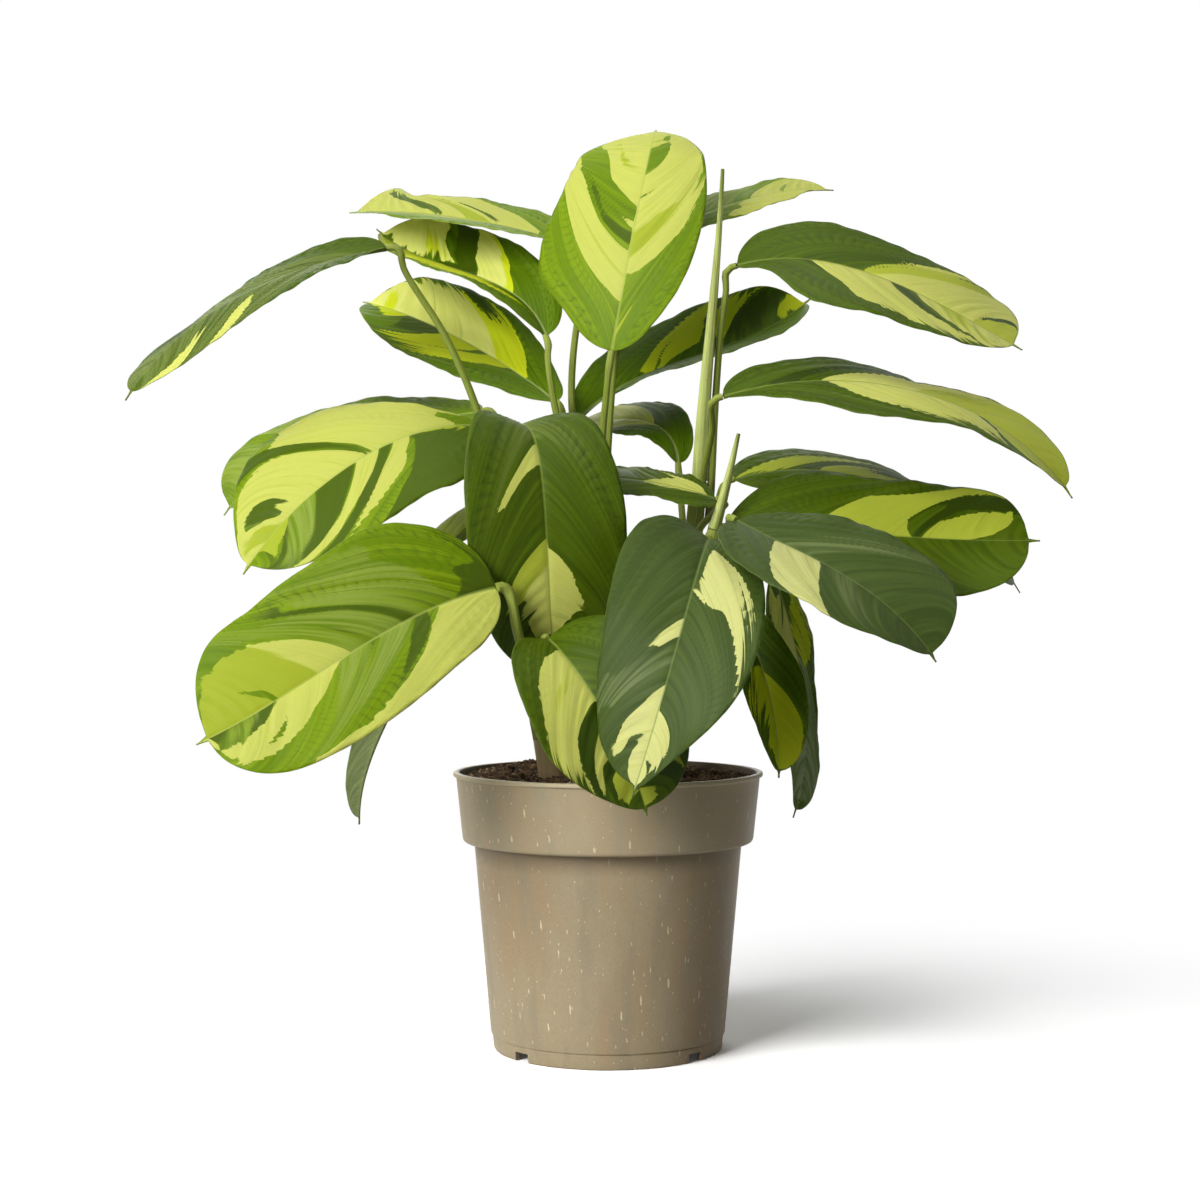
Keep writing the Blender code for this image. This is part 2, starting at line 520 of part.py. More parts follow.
def make_potting_mix(mats):
    """The potting mix, filling the pot, with a bore for each cane's foot."""
    floor = FLOOR_RAISE + WALL + GAP
    wall = inner_outline(GAP)
    edge_radius = wall[0][0] - SOIL_INSET
    top = POT_HEIGHT - SOIL_DROP
    rings = [edge_radius * (1 - step / SOIL_RINGS) for step in range(SOIL_RINGS + 1)]
    outline = [(0, WALL + GAP), (PAD_RADIUS - PAD_SLOPE - GAP, WALL + GAP), (PAD_RADIUS - 2 * GAP, floor),
               *reversed(wall[1:]), *[(radius, top) for radius in rings]]
    bm = turned(outline, SOIL_STEPS)
    for vert in bm.verts:
        if abs(vert.co.z - top * MM) < MERGE * MM:
            vert.co.z = soil_height(vert.co.x / MM, vert.co.y / MM) * MM
    mix = put("potting_mix", mesh_from(bm, "potting_mix"), mats["potting_mix"])
    bores = bmesh.new()
    for cane in CANES:
        radius = (cane.foot_radius + 2 * GAP) * MM
        bore = bmesh.ops.create_cone(bores, segments=BORE_SIDES, cap_ends=True, radius1=radius,
                                     radius2=radius, depth=BORE_LENGTH * MM)["verts"]
        foot, _, _ = cane_at(cane, 0)
        surface, _, _ = cane_at(cane, ROOT_DEPTH)
        along = Vector(unit(surface - foot))
        bmesh.ops.translate(bores, vec=(0, 0, (BORE_LENGTH / 2 - GAP) * MM), verts=bore)
        lean = Vector((0, 0, 1)).rotation_difference(along).to_matrix()
        bmesh.ops.rotate(bores, cent=(0, 0, 0), verts=bore, matrix=lean)
        bmesh.ops.translate(bores, vec=foot * MM, verts=bore)
    cut(mix, cutter("bore_cutter", bores))


def make_cane(cane, mat):
    """A cane or a rolled leaf."""
    shares = np.linspace(0, 1, CANE_RINGS)
    places, _ = smooth_curve(cane.route, shares)
    radii = cane.foot_radius + (cane.top_radius - cane.foot_radius) * shares
    rod(cane.name, places, radii, CANE_SIDES, mat)


def make_stalk(leaf, mat):
    """A leaf's stalk, with its swollen knee below the blade."""
    places = spline(stalk_points(leaf), STALK_STEP)
    shares = np.linspace(0, 1, len(places))
    radii = leaf.stalk.radius + STALK_SWELL * (1 - shares)
    rod(leaf.name + "_stalk", places, radii, STALK_SIDES, mat)


def make_blade(leaf, mat):
    """A leaf's blade: a grid laid on its surface and thickened."""
    bm = bmesh.new()
    bmesh.ops.create_grid(bm, x_segments=BLADE_ROWS, y_segments=BLADE_COLUMNS, size=1.0)
    even = np.linspace(0, 1, BLADE_ROWS + 1)
    t = (even + (1 - np.cos(math.pi * even)) / 2) / 2
    v = np.linspace(-1, 1, BLADE_COLUMNS + 1)
    surface = blade_surface(leaf, t, v)
    for vert in bm.verts:
        row = round((vert.co.x + 1) / 2 * BLADE_ROWS)
        column = round((1 - vert.co.y) / 2 * BLADE_COLUMNS)
        vert.co = surface[row, column] * MM
    mesh = bpy.data.meshes.new(leaf.name)
    bm.to_mesh(mesh)
    bm.free()
    mesh.shade_smooth()
    blade = put(leaf.name + "_leaf", mesh, mat)
    solidify = blade.modifiers.new("thickness", "SOLIDIFY")
    solidify.thickness = BLADE_THICKNESS * MM
    solidify.offset = 0.0


def main():
    """Builds every piece in an empty scene."""
    for old in list(bpy.data.objects):
        bpy.data.objects.remove(old)
    mats = make_materials()
    make_pot(mats)
    make_potting_mix(mats)
    for cane in CANES:
        make_cane(cane, mats["cane"])
    for spear in SPEARS:
        make_cane(spear, mats["rolled_leaf"])
    for leaf in LEAVES:
        make_blade(leaf, mats["leaf"])
        make_stalk(leaf, mats["stalk"])


if __name__ == "__main__":
    main()
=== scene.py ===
"""The looks of a potted ctenanthe: variegated leaves, stalks, canes, potting mix and nursery pot.

The frame has +Z up and its origin at the centre of the pot's foot; -Y is the front. Tables are in
millimetres and degrees, and meshes are made in metres.
"""

import logging
import math
from dataclasses import dataclass
from enum import Enum

import bmesh
import bpy
import numpy as np
from mathutils import Matrix, Vector


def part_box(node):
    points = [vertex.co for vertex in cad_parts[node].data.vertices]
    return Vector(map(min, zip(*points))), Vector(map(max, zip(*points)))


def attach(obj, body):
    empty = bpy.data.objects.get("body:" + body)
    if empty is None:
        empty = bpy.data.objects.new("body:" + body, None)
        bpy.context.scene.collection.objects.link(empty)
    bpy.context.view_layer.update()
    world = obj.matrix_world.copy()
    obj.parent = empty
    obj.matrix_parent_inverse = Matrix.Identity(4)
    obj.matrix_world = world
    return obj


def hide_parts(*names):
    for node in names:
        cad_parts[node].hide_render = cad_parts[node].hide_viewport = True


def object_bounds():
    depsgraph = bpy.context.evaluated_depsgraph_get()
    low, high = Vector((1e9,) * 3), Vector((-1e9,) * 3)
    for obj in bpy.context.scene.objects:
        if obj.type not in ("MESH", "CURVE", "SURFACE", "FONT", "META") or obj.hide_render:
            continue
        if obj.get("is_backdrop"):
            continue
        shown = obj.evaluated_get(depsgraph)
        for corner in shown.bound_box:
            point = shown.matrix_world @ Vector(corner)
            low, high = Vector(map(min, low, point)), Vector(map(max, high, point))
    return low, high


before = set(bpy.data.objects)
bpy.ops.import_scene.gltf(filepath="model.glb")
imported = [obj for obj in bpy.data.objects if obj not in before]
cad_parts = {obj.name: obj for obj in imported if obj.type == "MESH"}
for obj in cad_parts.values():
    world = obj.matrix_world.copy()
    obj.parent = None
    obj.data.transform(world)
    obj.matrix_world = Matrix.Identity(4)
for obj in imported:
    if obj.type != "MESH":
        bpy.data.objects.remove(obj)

log = logging.getLogger("ctenanthe")

MM = 0.001
FAR = 20.0  # a tone that is nowhere near, in mm

Array = np.ndarray
Colour = tuple[float, float, float]
Span = tuple[float, float]


class Side(Enum):
    """A half of a blade, as seen along its midrib from the stalk."""

    LEFT = -1
    RIGHT = 1


class Tone(Enum):
    """What a patch of a blade is coloured."""

    GREEN = "green"
    DEEP = "deep"
    LIME = "lime"
    # Silver is partly painted sheen, where the blade's gloss catches the light, and partly the blade's own
    # grey-green.
    CREAM = "cream"
    SILVER = "silver"


LEFT = Side.LEFT
RIGHT = Side.RIGHT
GREEN = Tone.GREEN
DEEP = Tone.DEEP
LIME = Tone.LIME
CREAM = Tone.CREAM
SILVER = Tone.SILVER


# ---------------------------------------------------------------- curves


CURVE_SAMPLES = 201
LOOK_AHEAD = 0.01  # share of a curve to either side that gives its direction


def unit(vectors: Array) -> Array:
    """Vectors, or one vector, scaled to length 1."""
    return vectors / np.linalg.norm(vectors, axis=-1, keepdims=True)


def distances(places: Array) -> Array:
    """How far along a row of places each of them is."""
    return np.concatenate([[0], np.cumsum(np.linalg.norm(np.diff(places, axis=0), axis=1))])


def smooth_curve(points: tuple, shares: Array) -> tuple[Array, float]:
    """Follows the polynomial through all the points, spaced by the distance between neighbours.

    Args:
        points: The points it runs through, in mm.
        shares: Shares of its length, from 0 to 1.

    Returns:
        The places at those shares, and the curve's length.
    """
    pts = np.array(points, float)
    knots = distances(pts)
    knots /= knots[-1]
    fine = np.linspace(0, 1, CURVE_SAMPLES)
    dense = np.zeros((len(fine), 3))
    for i, point in enumerate(pts):
        others = [k for j, k in enumerate(knots) if j != i]
        dense += np.prod([(fine - k) / (knots[i] - k) for k in others], axis=0)[:, None] * point
    run = distances(dense)
    at = np.asarray(shares, float) * run[-1]
    return np.stack([np.interp(at, run, dense[:, i]) for i in range(3)], axis=1), float(run[-1])


def spline(points: list, step: float) -> Array:
    """Places every step or so along the curve that runs smoothly through the points (Catmull-Rom).

    Args:
        points: The points it runs through, in mm.
        step: The distance between places, in mm.

    Returns:
        The places, one row each.
    """
    pts = np.array(points, float)
    pts = np.vstack([2 * pts[0] - pts[1], pts, 2 * pts[-1] - pts[-2]])
    places = []
    for before, start, end, after in zip(pts, pts[1:], pts[2:], pts[3:]):
        count = max(1, round(np.linalg.norm(end - start) / step))
        gaps = [math.sqrt(np.linalg.norm(b - a)) for a, b in ((before, start), (start, end), (end, after))]
        leave = ((start - before) / gaps[0] - (end - before) / (gaps[0] + gaps[1])
                 + (end - start) / gaps[1]) * gaps[1]
        arrive = ((end - start) / gaps[1] - (after - start) / (gaps[1] + gaps[2])
                  + (after - end) / gaps[2]) * gaps[1]
        for u in np.linspace(0, 1, count, endpoint=False):
            places.append(start * (2 * u**3 - 3 * u**2 + 1) + leave * (u**3 - 2 * u**2 + u)
                          + end * (3 * u**2 - 2 * u**3) + arrive * (u**3 - u**2))
    return np.array(places + [pts[-2]])


def ripple(seed: int, waves: tuple, t: Array) -> Array:
    """A smooth seeded wave, between about -1 and 1.

    Args:
        seed: Picks the wave.
        waves: How many times each of its parts swings from t 0 to 1.
        t: Where it is read.

    Returns:
        Its height at every t.
    """
    phases = np.random.default_rng(seed).uniform(0, math.tau, len(waves))
    parts = [np.sin(math.tau * wave * t + phase) for wave, phase in zip(waves, phases)]
    return np.sum(parts, axis=0) / math.sqrt(len(waves))


# ---------------------------------------------------------------- node trees


@dataclass(frozen=True)
class Value:
    """A node's output. Arithmetic on it adds Math nodes to its tree."""

    graph: "Graph"
    socket: bpy.types.NodeSocket

    def of(self, name: str) -> "Value":
        """Another output of the same node."""
        return Value(self.graph, pick(self.socket.node.outputs, name))

    def __add__(self, other: "Value | float") -> "Value":
        """This plus other."""
        return self.graph.math("ADD", self, other)

    __radd__ = __add__

    def __sub__(self, other: "Value | float") -> "Value":
        """This minus other."""
        return self.graph.math("SUBTRACT", self, other)

    def __rsub__(self, other: float) -> "Value":
        """Other minus this."""
        return self.graph.math("SUBTRACT", other, self)

    def __mul__(self, other: "Value | float") -> "Value":
        """This times other."""
        return self.graph.math("MULTIPLY", self, other)

    __rmul__ = __mul__

    def __truediv__(self, other: "Value | float") -> "Value":
        """This over other."""
        return self.graph.math("DIVIDE", self, other)


def pick(sockets: bpy.types.bpy_prop_collection, name: str) -> bpy.types.NodeSocket:
    """The socket of this identifier, or else of this name."""
    found = [s for s in sockets if s.identifier == name] or [s for s in sockets if s.name == name]
    return found[0]


class Graph:
    """A shader's or a modifier's node tree, written as expressions."""

    def __init__(self, tree: bpy.types.NodeTree) -> None:
        """Starts on a tree."""
        self.tree = tree

    def node(self, kind: str, settings: dict | None = None, values: dict | None = None) -> Value:
        """Adds a node.

        Args:
            kind: Blender's type name.
            settings: The node's own settings.
            values: A value or a link for each of its sockets, by identifier or name.

        Returns:
            The node's first output that is in use.
        """
        made = self.tree.nodes.new(kind)
        for key, setting in (settings or {}).items():
            setattr(made, key, setting)
        for key, value in (values or {}).items():
            socket = pick(made.inputs, key)
            if isinstance(value, Value):
                self.tree.links.new(value.socket, socket)
            else:
                socket.default_value = value
        in_use = [s for s in made.outputs if s.enabled] or [made.inputs[0]]
        return Value(self, in_use[0])

    def math(self, operation: str, first: "Value | float", second: "Value | float" = 0.0) -> Value:
        """A Math node's result."""
        return self.node("ShaderNodeMath", {"operation": operation}, {"Value": first, "Value_001": second})

    def step(self, value: Value, low: float, high: float) -> Value:
        """0 below low and 1 above high, with a smooth rise between."""
        return self.node("ShaderNodeMapRange", {"interpolation_type": "SMOOTHSTEP"},
                         {"Value": value, "From Min": low, "From Max": high})

    def mix(self, share: "Value | float", first: "Value | tuple", second: "Value | tuple") -> Value:
        """A colour between first, at share 0, and second, at share 1."""
        ends = [end if isinstance(end, Value) else (*end, 1.0) for end in (first, second)]
        return self.node("ShaderNodeMix", {"data_type": "RGBA"},
                         {"Factor_Float": share, "A_Color": ends[0], "B_Color": ends[1]}).of("Result_Color")

    def scaled(self, vector: Value, factors: tuple) -> Value:
        """A vector with each part multiplied."""
        return self.node("ShaderNodeVectorMath", {"operation": "MULTIPLY"},
                         {"Vector": vector, "Vector_001": factors})

    def split(self, vector: Value) -> tuple[Value, Value, Value]:
        """A vector's three parts."""
        parts = self.node("ShaderNodeSeparateXYZ", values={"Vector": vector})
        return parts.of("X"), parts.of("Y"), parts.of("Z")

    def from_axis(self, place: Value) -> Value:
        """How far a place is from the Z axis."""
        x, y, _ = self.split(place)
        return self.math("SQRT", x * x + y * y)

    def noise(self, vector: Value, scale: float, detail: float = 2.0, rough: float = 0.5) -> Value:
        """Soft noise round 0.5."""
        return self.node("ShaderNodeTexNoise",
                         values={"Vector": vector, "Scale": scale, "Detail": detail, "Roughness": rough})

    def attribute(self, name: str) -> Value:
        """A mesh attribute, as a vector."""
        return self.node("ShaderNodeAttribute", {"attribute_name": name}).of("Vector")

    def object_place(self) -> Value:
        """Object coordinates."""
        return self.node("ShaderNodeTexCoord").of("Object")


class Shader(Graph):
    """A new material with one Principled shader."""

    def __init__(self, name: str) -> None:
        """Starts an empty material.

        Args:
            name: The material's name.
        """
        self.material = bpy.data.materials.new(name)
        self.material.use_nodes = True
        super().__init__(self.material.node_tree)
        self.tree.nodes.clear()

    def finish(self, values: dict) -> bpy.types.Material:
        """Closes the material.

        Args:
            values: A value or a link for each socket of its Principled shader.

        Returns:
            The material.
        """
        shader = self.node("ShaderNodeBsdfPrincipled", values=values)
        self.node("ShaderNodeOutputMaterial", values={"Surface": shader})
        return self.material

    def bump(self, height: Value, distance: float, strength: float = 1.0) -> Value:
        """The normal that a height in 0 to 1 gives, for a full height of this distance in metres."""
        return self.node("ShaderNodeBump",
                         values={"Height": height, "Distance": distance, "Strength": strength})


class GeometryTree(Graph):
    """A new geometry node tree that takes a geometry and settings, and gives a geometry."""

    def __init__(self, name: str, inputs: dict) -> None:
        """Starts the tree.

        Args:
            name: The tree's name.
            inputs: The socket type of each of its settings, by name. One is called Material.
        """
        super().__init__(bpy.data.node_groups.new(name, "GeometryNodeTree"))
        for key, kind in {"Geometry": "Geometry", **inputs}.items():
            self.tree.interface.new_socket(key, in_out="INPUT", socket_type="NodeSocket" + kind)
        self.tree.interface.new_socket("Geometry", in_out="OUTPUT", socket_type="NodeSocketGeometry")
        self.given = self.node("NodeGroupInput")

    def close(self, geometry: Value) -> None:
        """Ends the tree: instances are made real and take the material.

        Args:
            geometry: What the tree gives.
        """
        real = self.node("GeometryNodeRealizeInstances", values={"Geometry": geometry})
        dressed = self.node("GeometryNodeSetMaterial",
                            values={"Geometry": real, "Material": self.given.of("Material")})
        self.node("NodeGroupOutput", values={"Geometry": dressed})

    def store(self, geometry: Value, name: str, value: Value, domain: str = "POINT") -> Value:
        """The geometry with a number stored for each point or instance."""
        return self.node("GeometryNodeStoreNamedAttribute", {"data_type": "FLOAT", "domain": domain},
                         {"Geometry": geometry, "Name": name, "Value": value})

    def circle(self, resolution: "Value | int", radius: "Value | float") -> Value:
        """A circle round Z."""
        return self.node("GeometryNodeCurvePrimitiveCircle", {"mode": "RADIUS"},
                         {"Resolution": resolution, "Radius": radius})

    def run(self, source: bpy.types.Object, name: str, settings: dict) -> bpy.types.Object:
        """Runs the tree on an object, which is removed.

        Args:
            source: The object.
            name: The result's name.
            settings: A value for each of the tree's settings, by name.

        Returns:
            The result, as a plain mesh.
        """
        nodes = source.modifiers.new(self.tree.name, "NODES")
        nodes.node_group = self.tree
        for item in self.tree.interface.items_tree:
            if item.item_type == "SOCKET" and item.in_out == "INPUT" and item.name in settings:
                nodes[item.identifier] = settings[item.name]
        return baked(source, name)


# ---------------------------------------------------------------- finishes


@dataclass(frozen=True)
class LeafFinish:
    """A variegated blade: the colours of its tones, its underside and its midrib and margin."""

    name: str
    green: Colour
    green_light: Colour
    silver: Colour
    deep: Colour
    lime: Colour
    cream: Colour
    under: Colour
    rib: Colour
    roughness: float = 0.36

    def make(self) -> bpy.types.Material:
        """Makes the material.

        Returns:
            The material. It reads what Leaf.attributes writes, where distances are in mm.
        """
        g = Shader(self.name)
        veins = g.attribute("vein")
        pale_by, cream_by, deep_by = g.split(g.attribute("tone"))
        rib_by, margin_by, silver_by = g.split(g.attribute("place"))
        under, ridge, _ = g.split(g.attribute("side"))

        def drawn(stretch: float, scale: float, detail: float, rough: float = 0.5) -> Value:
            """Noise drawn out along the veins."""
            return g.noise(g.scaled(veins, (1.0, stretch, 1.0)), scale, detail, rough)

        tooth = drawn(0.14, 20.0, 2.0, 0.55) - 0.5
        drift = drawn(0.4, 6.0, 1.0) - 0.5
        fray = tooth * 3.0 + drift * 2.0  # how far the patches' edges wander
        streak = drawn(0.06, 30.0, 4.0, 0.6)
        cloud = drawn(0.4, 3.0, 2.0)
        hair = drawn(0.03, 130.0, 2.0, 0.6)
        mottle = g.noise(veins, 70.0, 2.0, 0.6)
        pale_mask = g.step(pale_by + fray, -0.16, 0.16)
        deep_mask = g.step(deep_by + fray * 1.3, -0.8, 0.8)
        silver_mask = g.step(silver_by + fray * 2.0, -2.2, 2.2) * g.step(streak, 0.3, 0.6)
        cream_mask = g.step(cream_by + fray * 1.4 + (streak - 0.5) * 5.0, -0.9, 0.9)
        green = self.green_part(g, ridge, cloud, streak)
        green = g.mix(deep_mask, green, self.deep)
        # Silver patches: partly painted sheen, partly the blade's own grey-green.
        green = g.mix(silver_mask * 0.85, green, self.silver)
        pale = self.pale_part(g, ridge, streak, cream_mask)
        colour = g.mix(pale_mask, green, pale)
        colour = g.mix(hair * 0.10 + mottle * 0.10, colour, self.deep)
        colour = g.mix(g.step(rib_by, 0.25, -0.25) * 0.6, colour, self.rib)
        colour = g.mix(g.step(margin_by, 0.7, 0.1) * 0.35, colour, self.deep)
        colour = g.mix(g.step(margin_by, 0.35, 0.1) * 0.5, colour, self.rib)
        colour = g.mix(under * 0.45, colour, self.under)
        gloss = self.roughness + streak * 0.12 + mottle * 0.06 + pale_mask * 0.04 + under * 0.12
        height = hair * 0.12 + streak + mottle * 0.08
        return g.finish({
            "Base Color": colour,
            "Roughness": gloss,
            "Normal": g.bump(height, 0.0002, 0.8),
            "Specular IOR Level": 0.1,
            "Subsurface Weight": 0.35,
            "Subsurface Radius": (0.8, 1.0, 0.3),
            "Subsurface Scale": 0.0012,
        })

    def green_part(self, g: Shader, ridge: Value, cloud: Value, streak: Value) -> Value:
        """Colours the green ground: lighter on the ribs and deeper between them as painted highlight and
        painted shade, with greyer clouds.

        Args:
            g: The material's tree.
            ridge: 1 on the ribs and -1 in the grooves between them.
            cloud: Broad noise along the veins.
            streak: Fine noise along the veins.

        Returns:
            The colour.
        """
        green = g.mix(g.step(streak * 0.6 + cloud * 0.4, 0.42, 0.60), self.green, self.green_light)
        # Lighter on the ribs and darker in the grooves: painted highlight and painted shade of the ribbing.
        green = g.mix(g.step(ridge, 0.1, 1.0) * 0.35, green, self.green_light)
        green = g.mix(g.step(ridge, -0.1, -1.0) * 0.62, green, self.deep)
        # Greyer clouds of silver, which is partly painted sheen.
        return g.mix(g.step(cloud * 0.6 + streak * 0.4, 0.56, 0.72) * 0.12, green, self.silver)

    def pale_part(self, g: Shader, ridge: Value, streak: Value, cream_mask: Value) -> Value:
        """Colours the pale patches: lime or cream, with streaks of lime and light green, and deeper lime in
        the grooves as painted shade.

        Args:
            g: The material's tree.
            ridge: 1 on the ribs and -1 in the grooves between them.
            streak: Fine noise along the veins.
            cream_mask: 1 where a patch is cream.

        Returns:
            The colour.
        """
        pale = g.mix(cream_mask, self.lime, self.cream)
        pale = g.mix(g.step(streak, 0.54, 0.72) * 0.5, pale, self.lime)
        pale = g.mix(g.step(streak, 0.42, 0.28) * 0.25, pale, self.green_light)
        # Deeper lime in the grooves: painted shade.
        return g.mix(g.step(ridge, 0.0, -1.0) * 0.12, pale, self.lime)


@dataclass(frozen=True)
class StemFinish:
    """A stalk, a cane or a rolled leaf: its colour from foot to top, fine lines along it, and dirt."""

    name: str
    foot: Colour
    body: Colour
    top: Colour
    roughness: float = 0.45
    foot_ends: float = 0.25  # share of the length where the foot's colour has gone
    dirt: Colour = (0.12, 0.11, 0.03)
    speckle: Colour = (0.16, 0.11, 0.05)
    line_count: int = 9  # pale lines round the stem

    def make(self) -> bpy.types.Material:
        """Makes the material.

        Returns:
            The material. It reads the "along" and "around" that StemTree writes.
        """
        g = Shader(self.name)
        along = g.split(g.attribute("along"))[0]
        around = g.split(g.attribute("around"))[0]
        place = g.object_place()
        cloud = g.noise(place, 60.0, 3.0)
        at = along + (cloud - 0.5) * 0.15
        colour = g.mix(g.step(at, 0.0, self.foot_ends), self.foot, self.body)
        colour = g.mix(g.step(at, 0.75, 1.0), colour, self.top)
        lines = g.math("SINE", around * (math.tau * self.line_count)) * 0.5 + 0.5
        grain = g.noise(g.scaled(place, (1.0, 1.0, 0.06)), 900.0, 2.0, 0.6)
        colour = g.mix(g.step(grain, 0.35, 0.75) * 0.3, colour, self.dirt)
        colour = g.mix(lines * 0.18, colour, self.top)
        speck = g.noise(place, 420.0, 3.0, 0.7)
        colour = g.mix(g.step(speck, 0.62, 0.75) * 0.4, colour, self.speckle)
        return g.finish({
            "Base Color": colour,
            "Roughness": self.roughness + grain * 0.15,
            "Normal": g.bump(lines * 0.6 + grain * 0.6, 0.0002, 0.7),
            "Specular IOR Level": 0.2,
        })


@dataclass(frozen=True)
class PotFinish:
    """Recycled plastic in satin taupe, with brown clouding and pale flecks drawn out upwards."""

    name: str = "pot_taupe"
    taupe: Colour = (0.45, 0.365, 0.225)
    brown: Colour = (0.45, 0.335, 0.195)
    grey: Colour = (0.375, 0.315, 0.205)
    fleck: Colour = (0.86, 0.76, 0.50)
    grain: Colour = (0.22, 0.17, 0.11)
    # The colours of the painted shade on the collar's inner face above the mix and of the painted shadow in
    # the strip under the collar.
    inner_face_shade: Colour = (0.075, 0.050, 0.030)
    under_collar_shade: Colour = (0.19, 0.145, 0.085)
    roughness: float = 0.46
    girth_radius: float = 0.075  # this and the next four are in metres
    lip_foot: float = 0.1482
    collar_foot: float = 0.113
    collar_radius: float = 0.0796  # outside, at the collar's foot
    collar_edge: float = 0.1132
    collar_flare: float = 0.107  # how fast the collar widens upwards
    crops: tuple = ((95.0, 4.5, 0.075, 0.5, 1.0), (170.0, 3.5, 0.085, 0.4, 0.85),
                    (240.0, 1.6, 0.10, 0.25, 0.85))  # as flecks takes them

    def flecks(self, g: Shader, wall: Value, crop: tuple) -> Value:
        """One crop of flecks.

        Args:
            g: The material's tree.
            wall: The place on the wall rolled out flat, in metres.
            crop: Cells per metre, how many times longer than wide a fleck is, its half width as a share
                of its cell, the share of cells with a fleck, and how strong it is.

        Returns:
            Their mask.
        """
        scale, stretch, size, share, strength = crop
        bent = g.noise(wall, 420.0, 2.0)
        spot = g.node("ShaderNodeTexVoronoi", {"voronoi_dimensions": "2D", "feature": "F1"},
                      {"Vector": g.scaled(wall, (1.0, 1.0 / stretch, 1.0)), "Scale": scale,
                       "Randomness": 1.0})
        cell, tall, _ = g.split(spot.of("Color"))
        reach = spot.of("Distance") + (bent - 0.5) * size * 1.4
        half = size * (0.5 + 0.5 * tall)
        return g.step(reach / half, 1.0, 0.6) * g.step(cell, 1.0 - share, 1.02 - share) * strength

    def flat_wall(self, g: Shader, place: Value) -> Value:
        """Rolls the wall out flat.

        Args:
            g: The material's tree.
            place: The place on the pot.

        Returns:
            How far it is along the girth and up, slightly slanted.
        """
        x, y, z = g.split(place)
        girth = g.math("ARCTAN2", x, 0.0 - y) * self.girth_radius
        return g.node("ShaderNodeCombineXYZ", values={"X": girth + z * 0.05, "Y": z})

    def painted_shade_masks(self, g: Shader, place: Value) -> tuple[Value, Value]:
        """Where the wall is darkened by painted shade.

        Args:
            g: The material's tree.
            place: The place on the pot.

        Returns:
            The mask of the painted shade on the collar's inner face above the mix, and that of the painted
            shadow in the strip under the collar.
        """
        above = g.split(place)[2] - self.collar_foot
        depth = above * self.collar_flare + self.collar_radius - g.from_axis(place)
        inside = g.step(depth, 0.0006, 0.0014) * g.step(above, 0.003, 0.005)
        under_collar_mask = g.step(above, -0.013, -0.001) * g.step(above, 0.0004, -0.0002)
        return inside, under_collar_mask

    def make(self) -> bpy.types.Material:
        """Makes the material.

        Returns:
            The material.
        """
        g = Shader(self.name)
        place = g.object_place()
        stretched = g.scaled(place, (1.0, 1.0, 0.45))
        cloud = g.noise(stretched, 26.0, 3.0, 0.6)
        band = g.noise(g.scaled(place, (1.0, 1.0, 0.2)), 60.0, 3.0, 0.6)
        colour = g.mix(g.step(cloud, 0.42, 0.62), self.taupe, self.brown)
        colour = g.mix(g.step(band, 0.48, 0.68) * 0.8, colour, self.grey)
        grain = g.noise(place, 900.0, 3.0, 0.7)
        colour = g.mix(g.step(grain, 0.35, 0.75) * 0.22, colour, self.grain)
        wall = self.flat_wall(g, place)
        fleck_mask = self.flecks(g, wall, self.crops[0])
        for crop in self.crops[1:]:
            fleck_mask = g.math("MAXIMUM", fleck_mask, self.flecks(g, wall, crop))
        colour = g.mix(fleck_mask * 0.8, colour, self.fleck)
        height = g.split(place)[2]
        # The lip is painted paler as a highlight along the rim, and the collar a little paler as painted
        # light.
        for edge, rise, share in ((self.lip_foot, 0.0006, 0.35), (self.collar_edge, 0.0008, 0.16)):
            colour = g.mix(g.step(height, edge, edge + rise) * share, colour, self.fleck)
        inside, under_collar_mask = self.painted_shade_masks(g, place)
        # Painted shade inside the collar and painted shadow under it.
        colour = g.mix(inside * 0.8, g.mix(under_collar_mask * 0.75, colour, self.under_collar_shade), self.inner_face_shade)
        smear = g.noise(stretched, 95.0, 3.0, 0.6)
        return g.finish({
            "Base Color": colour,
            "Roughness": self.roughness + smear * 0.14 - 0.05,
            "Normal": g.bump(grain * 0.5 + smear * 0.6 + fleck_mask * 0.5, 0.00012, 0.7),
            "Specular IOR Level": 0.2,
        })


@dataclass(frozen=True)
class PeatFinish:
    """Moist peat: dark brown, redder and paler from crumb to crumb, rough and dull."""

    name: str = "peat"
    dark: Colour = (0.020, 0.012, 0.006)
    brown: Colour = (0.19, 0.115, 0.060)
    straw: Colour = (0.42, 0.31, 0.18)

    def make(self) -> bpy.types.Material:
        """Makes the material.

        Returns:
            The material. It reads the "tint" that CrumbTree writes.
        """
        g = Shader(self.name)
        place = g.object_place()
        tint = g.split(g.attribute("tint"))[0]
        clod = g.noise(place, 160.0, 4.0, 0.65)
        grain = g.noise(place, 1400.0, 3.0, 0.7)
        colour = g.mix(g.step(clod + grain * 0.4 - 0.2, 0.35, 0.65), self.dark, self.brown)
        colour = g.mix(g.step(tint, 0.5, 0.85) * 0.7, colour, self.brown)
        colour = g.mix(g.step(tint, 0.9, 0.98) * 0.8, colour, self.straw)
        return g.finish({
            "Base Color": colour,
            "Roughness": 0.82 + grain * 0.16,
            "Normal": g.bump(clod * 0.6 + grain * 0.5, 0.0006, 0.9),
            "Specular IOR Level": 0.25,
        })


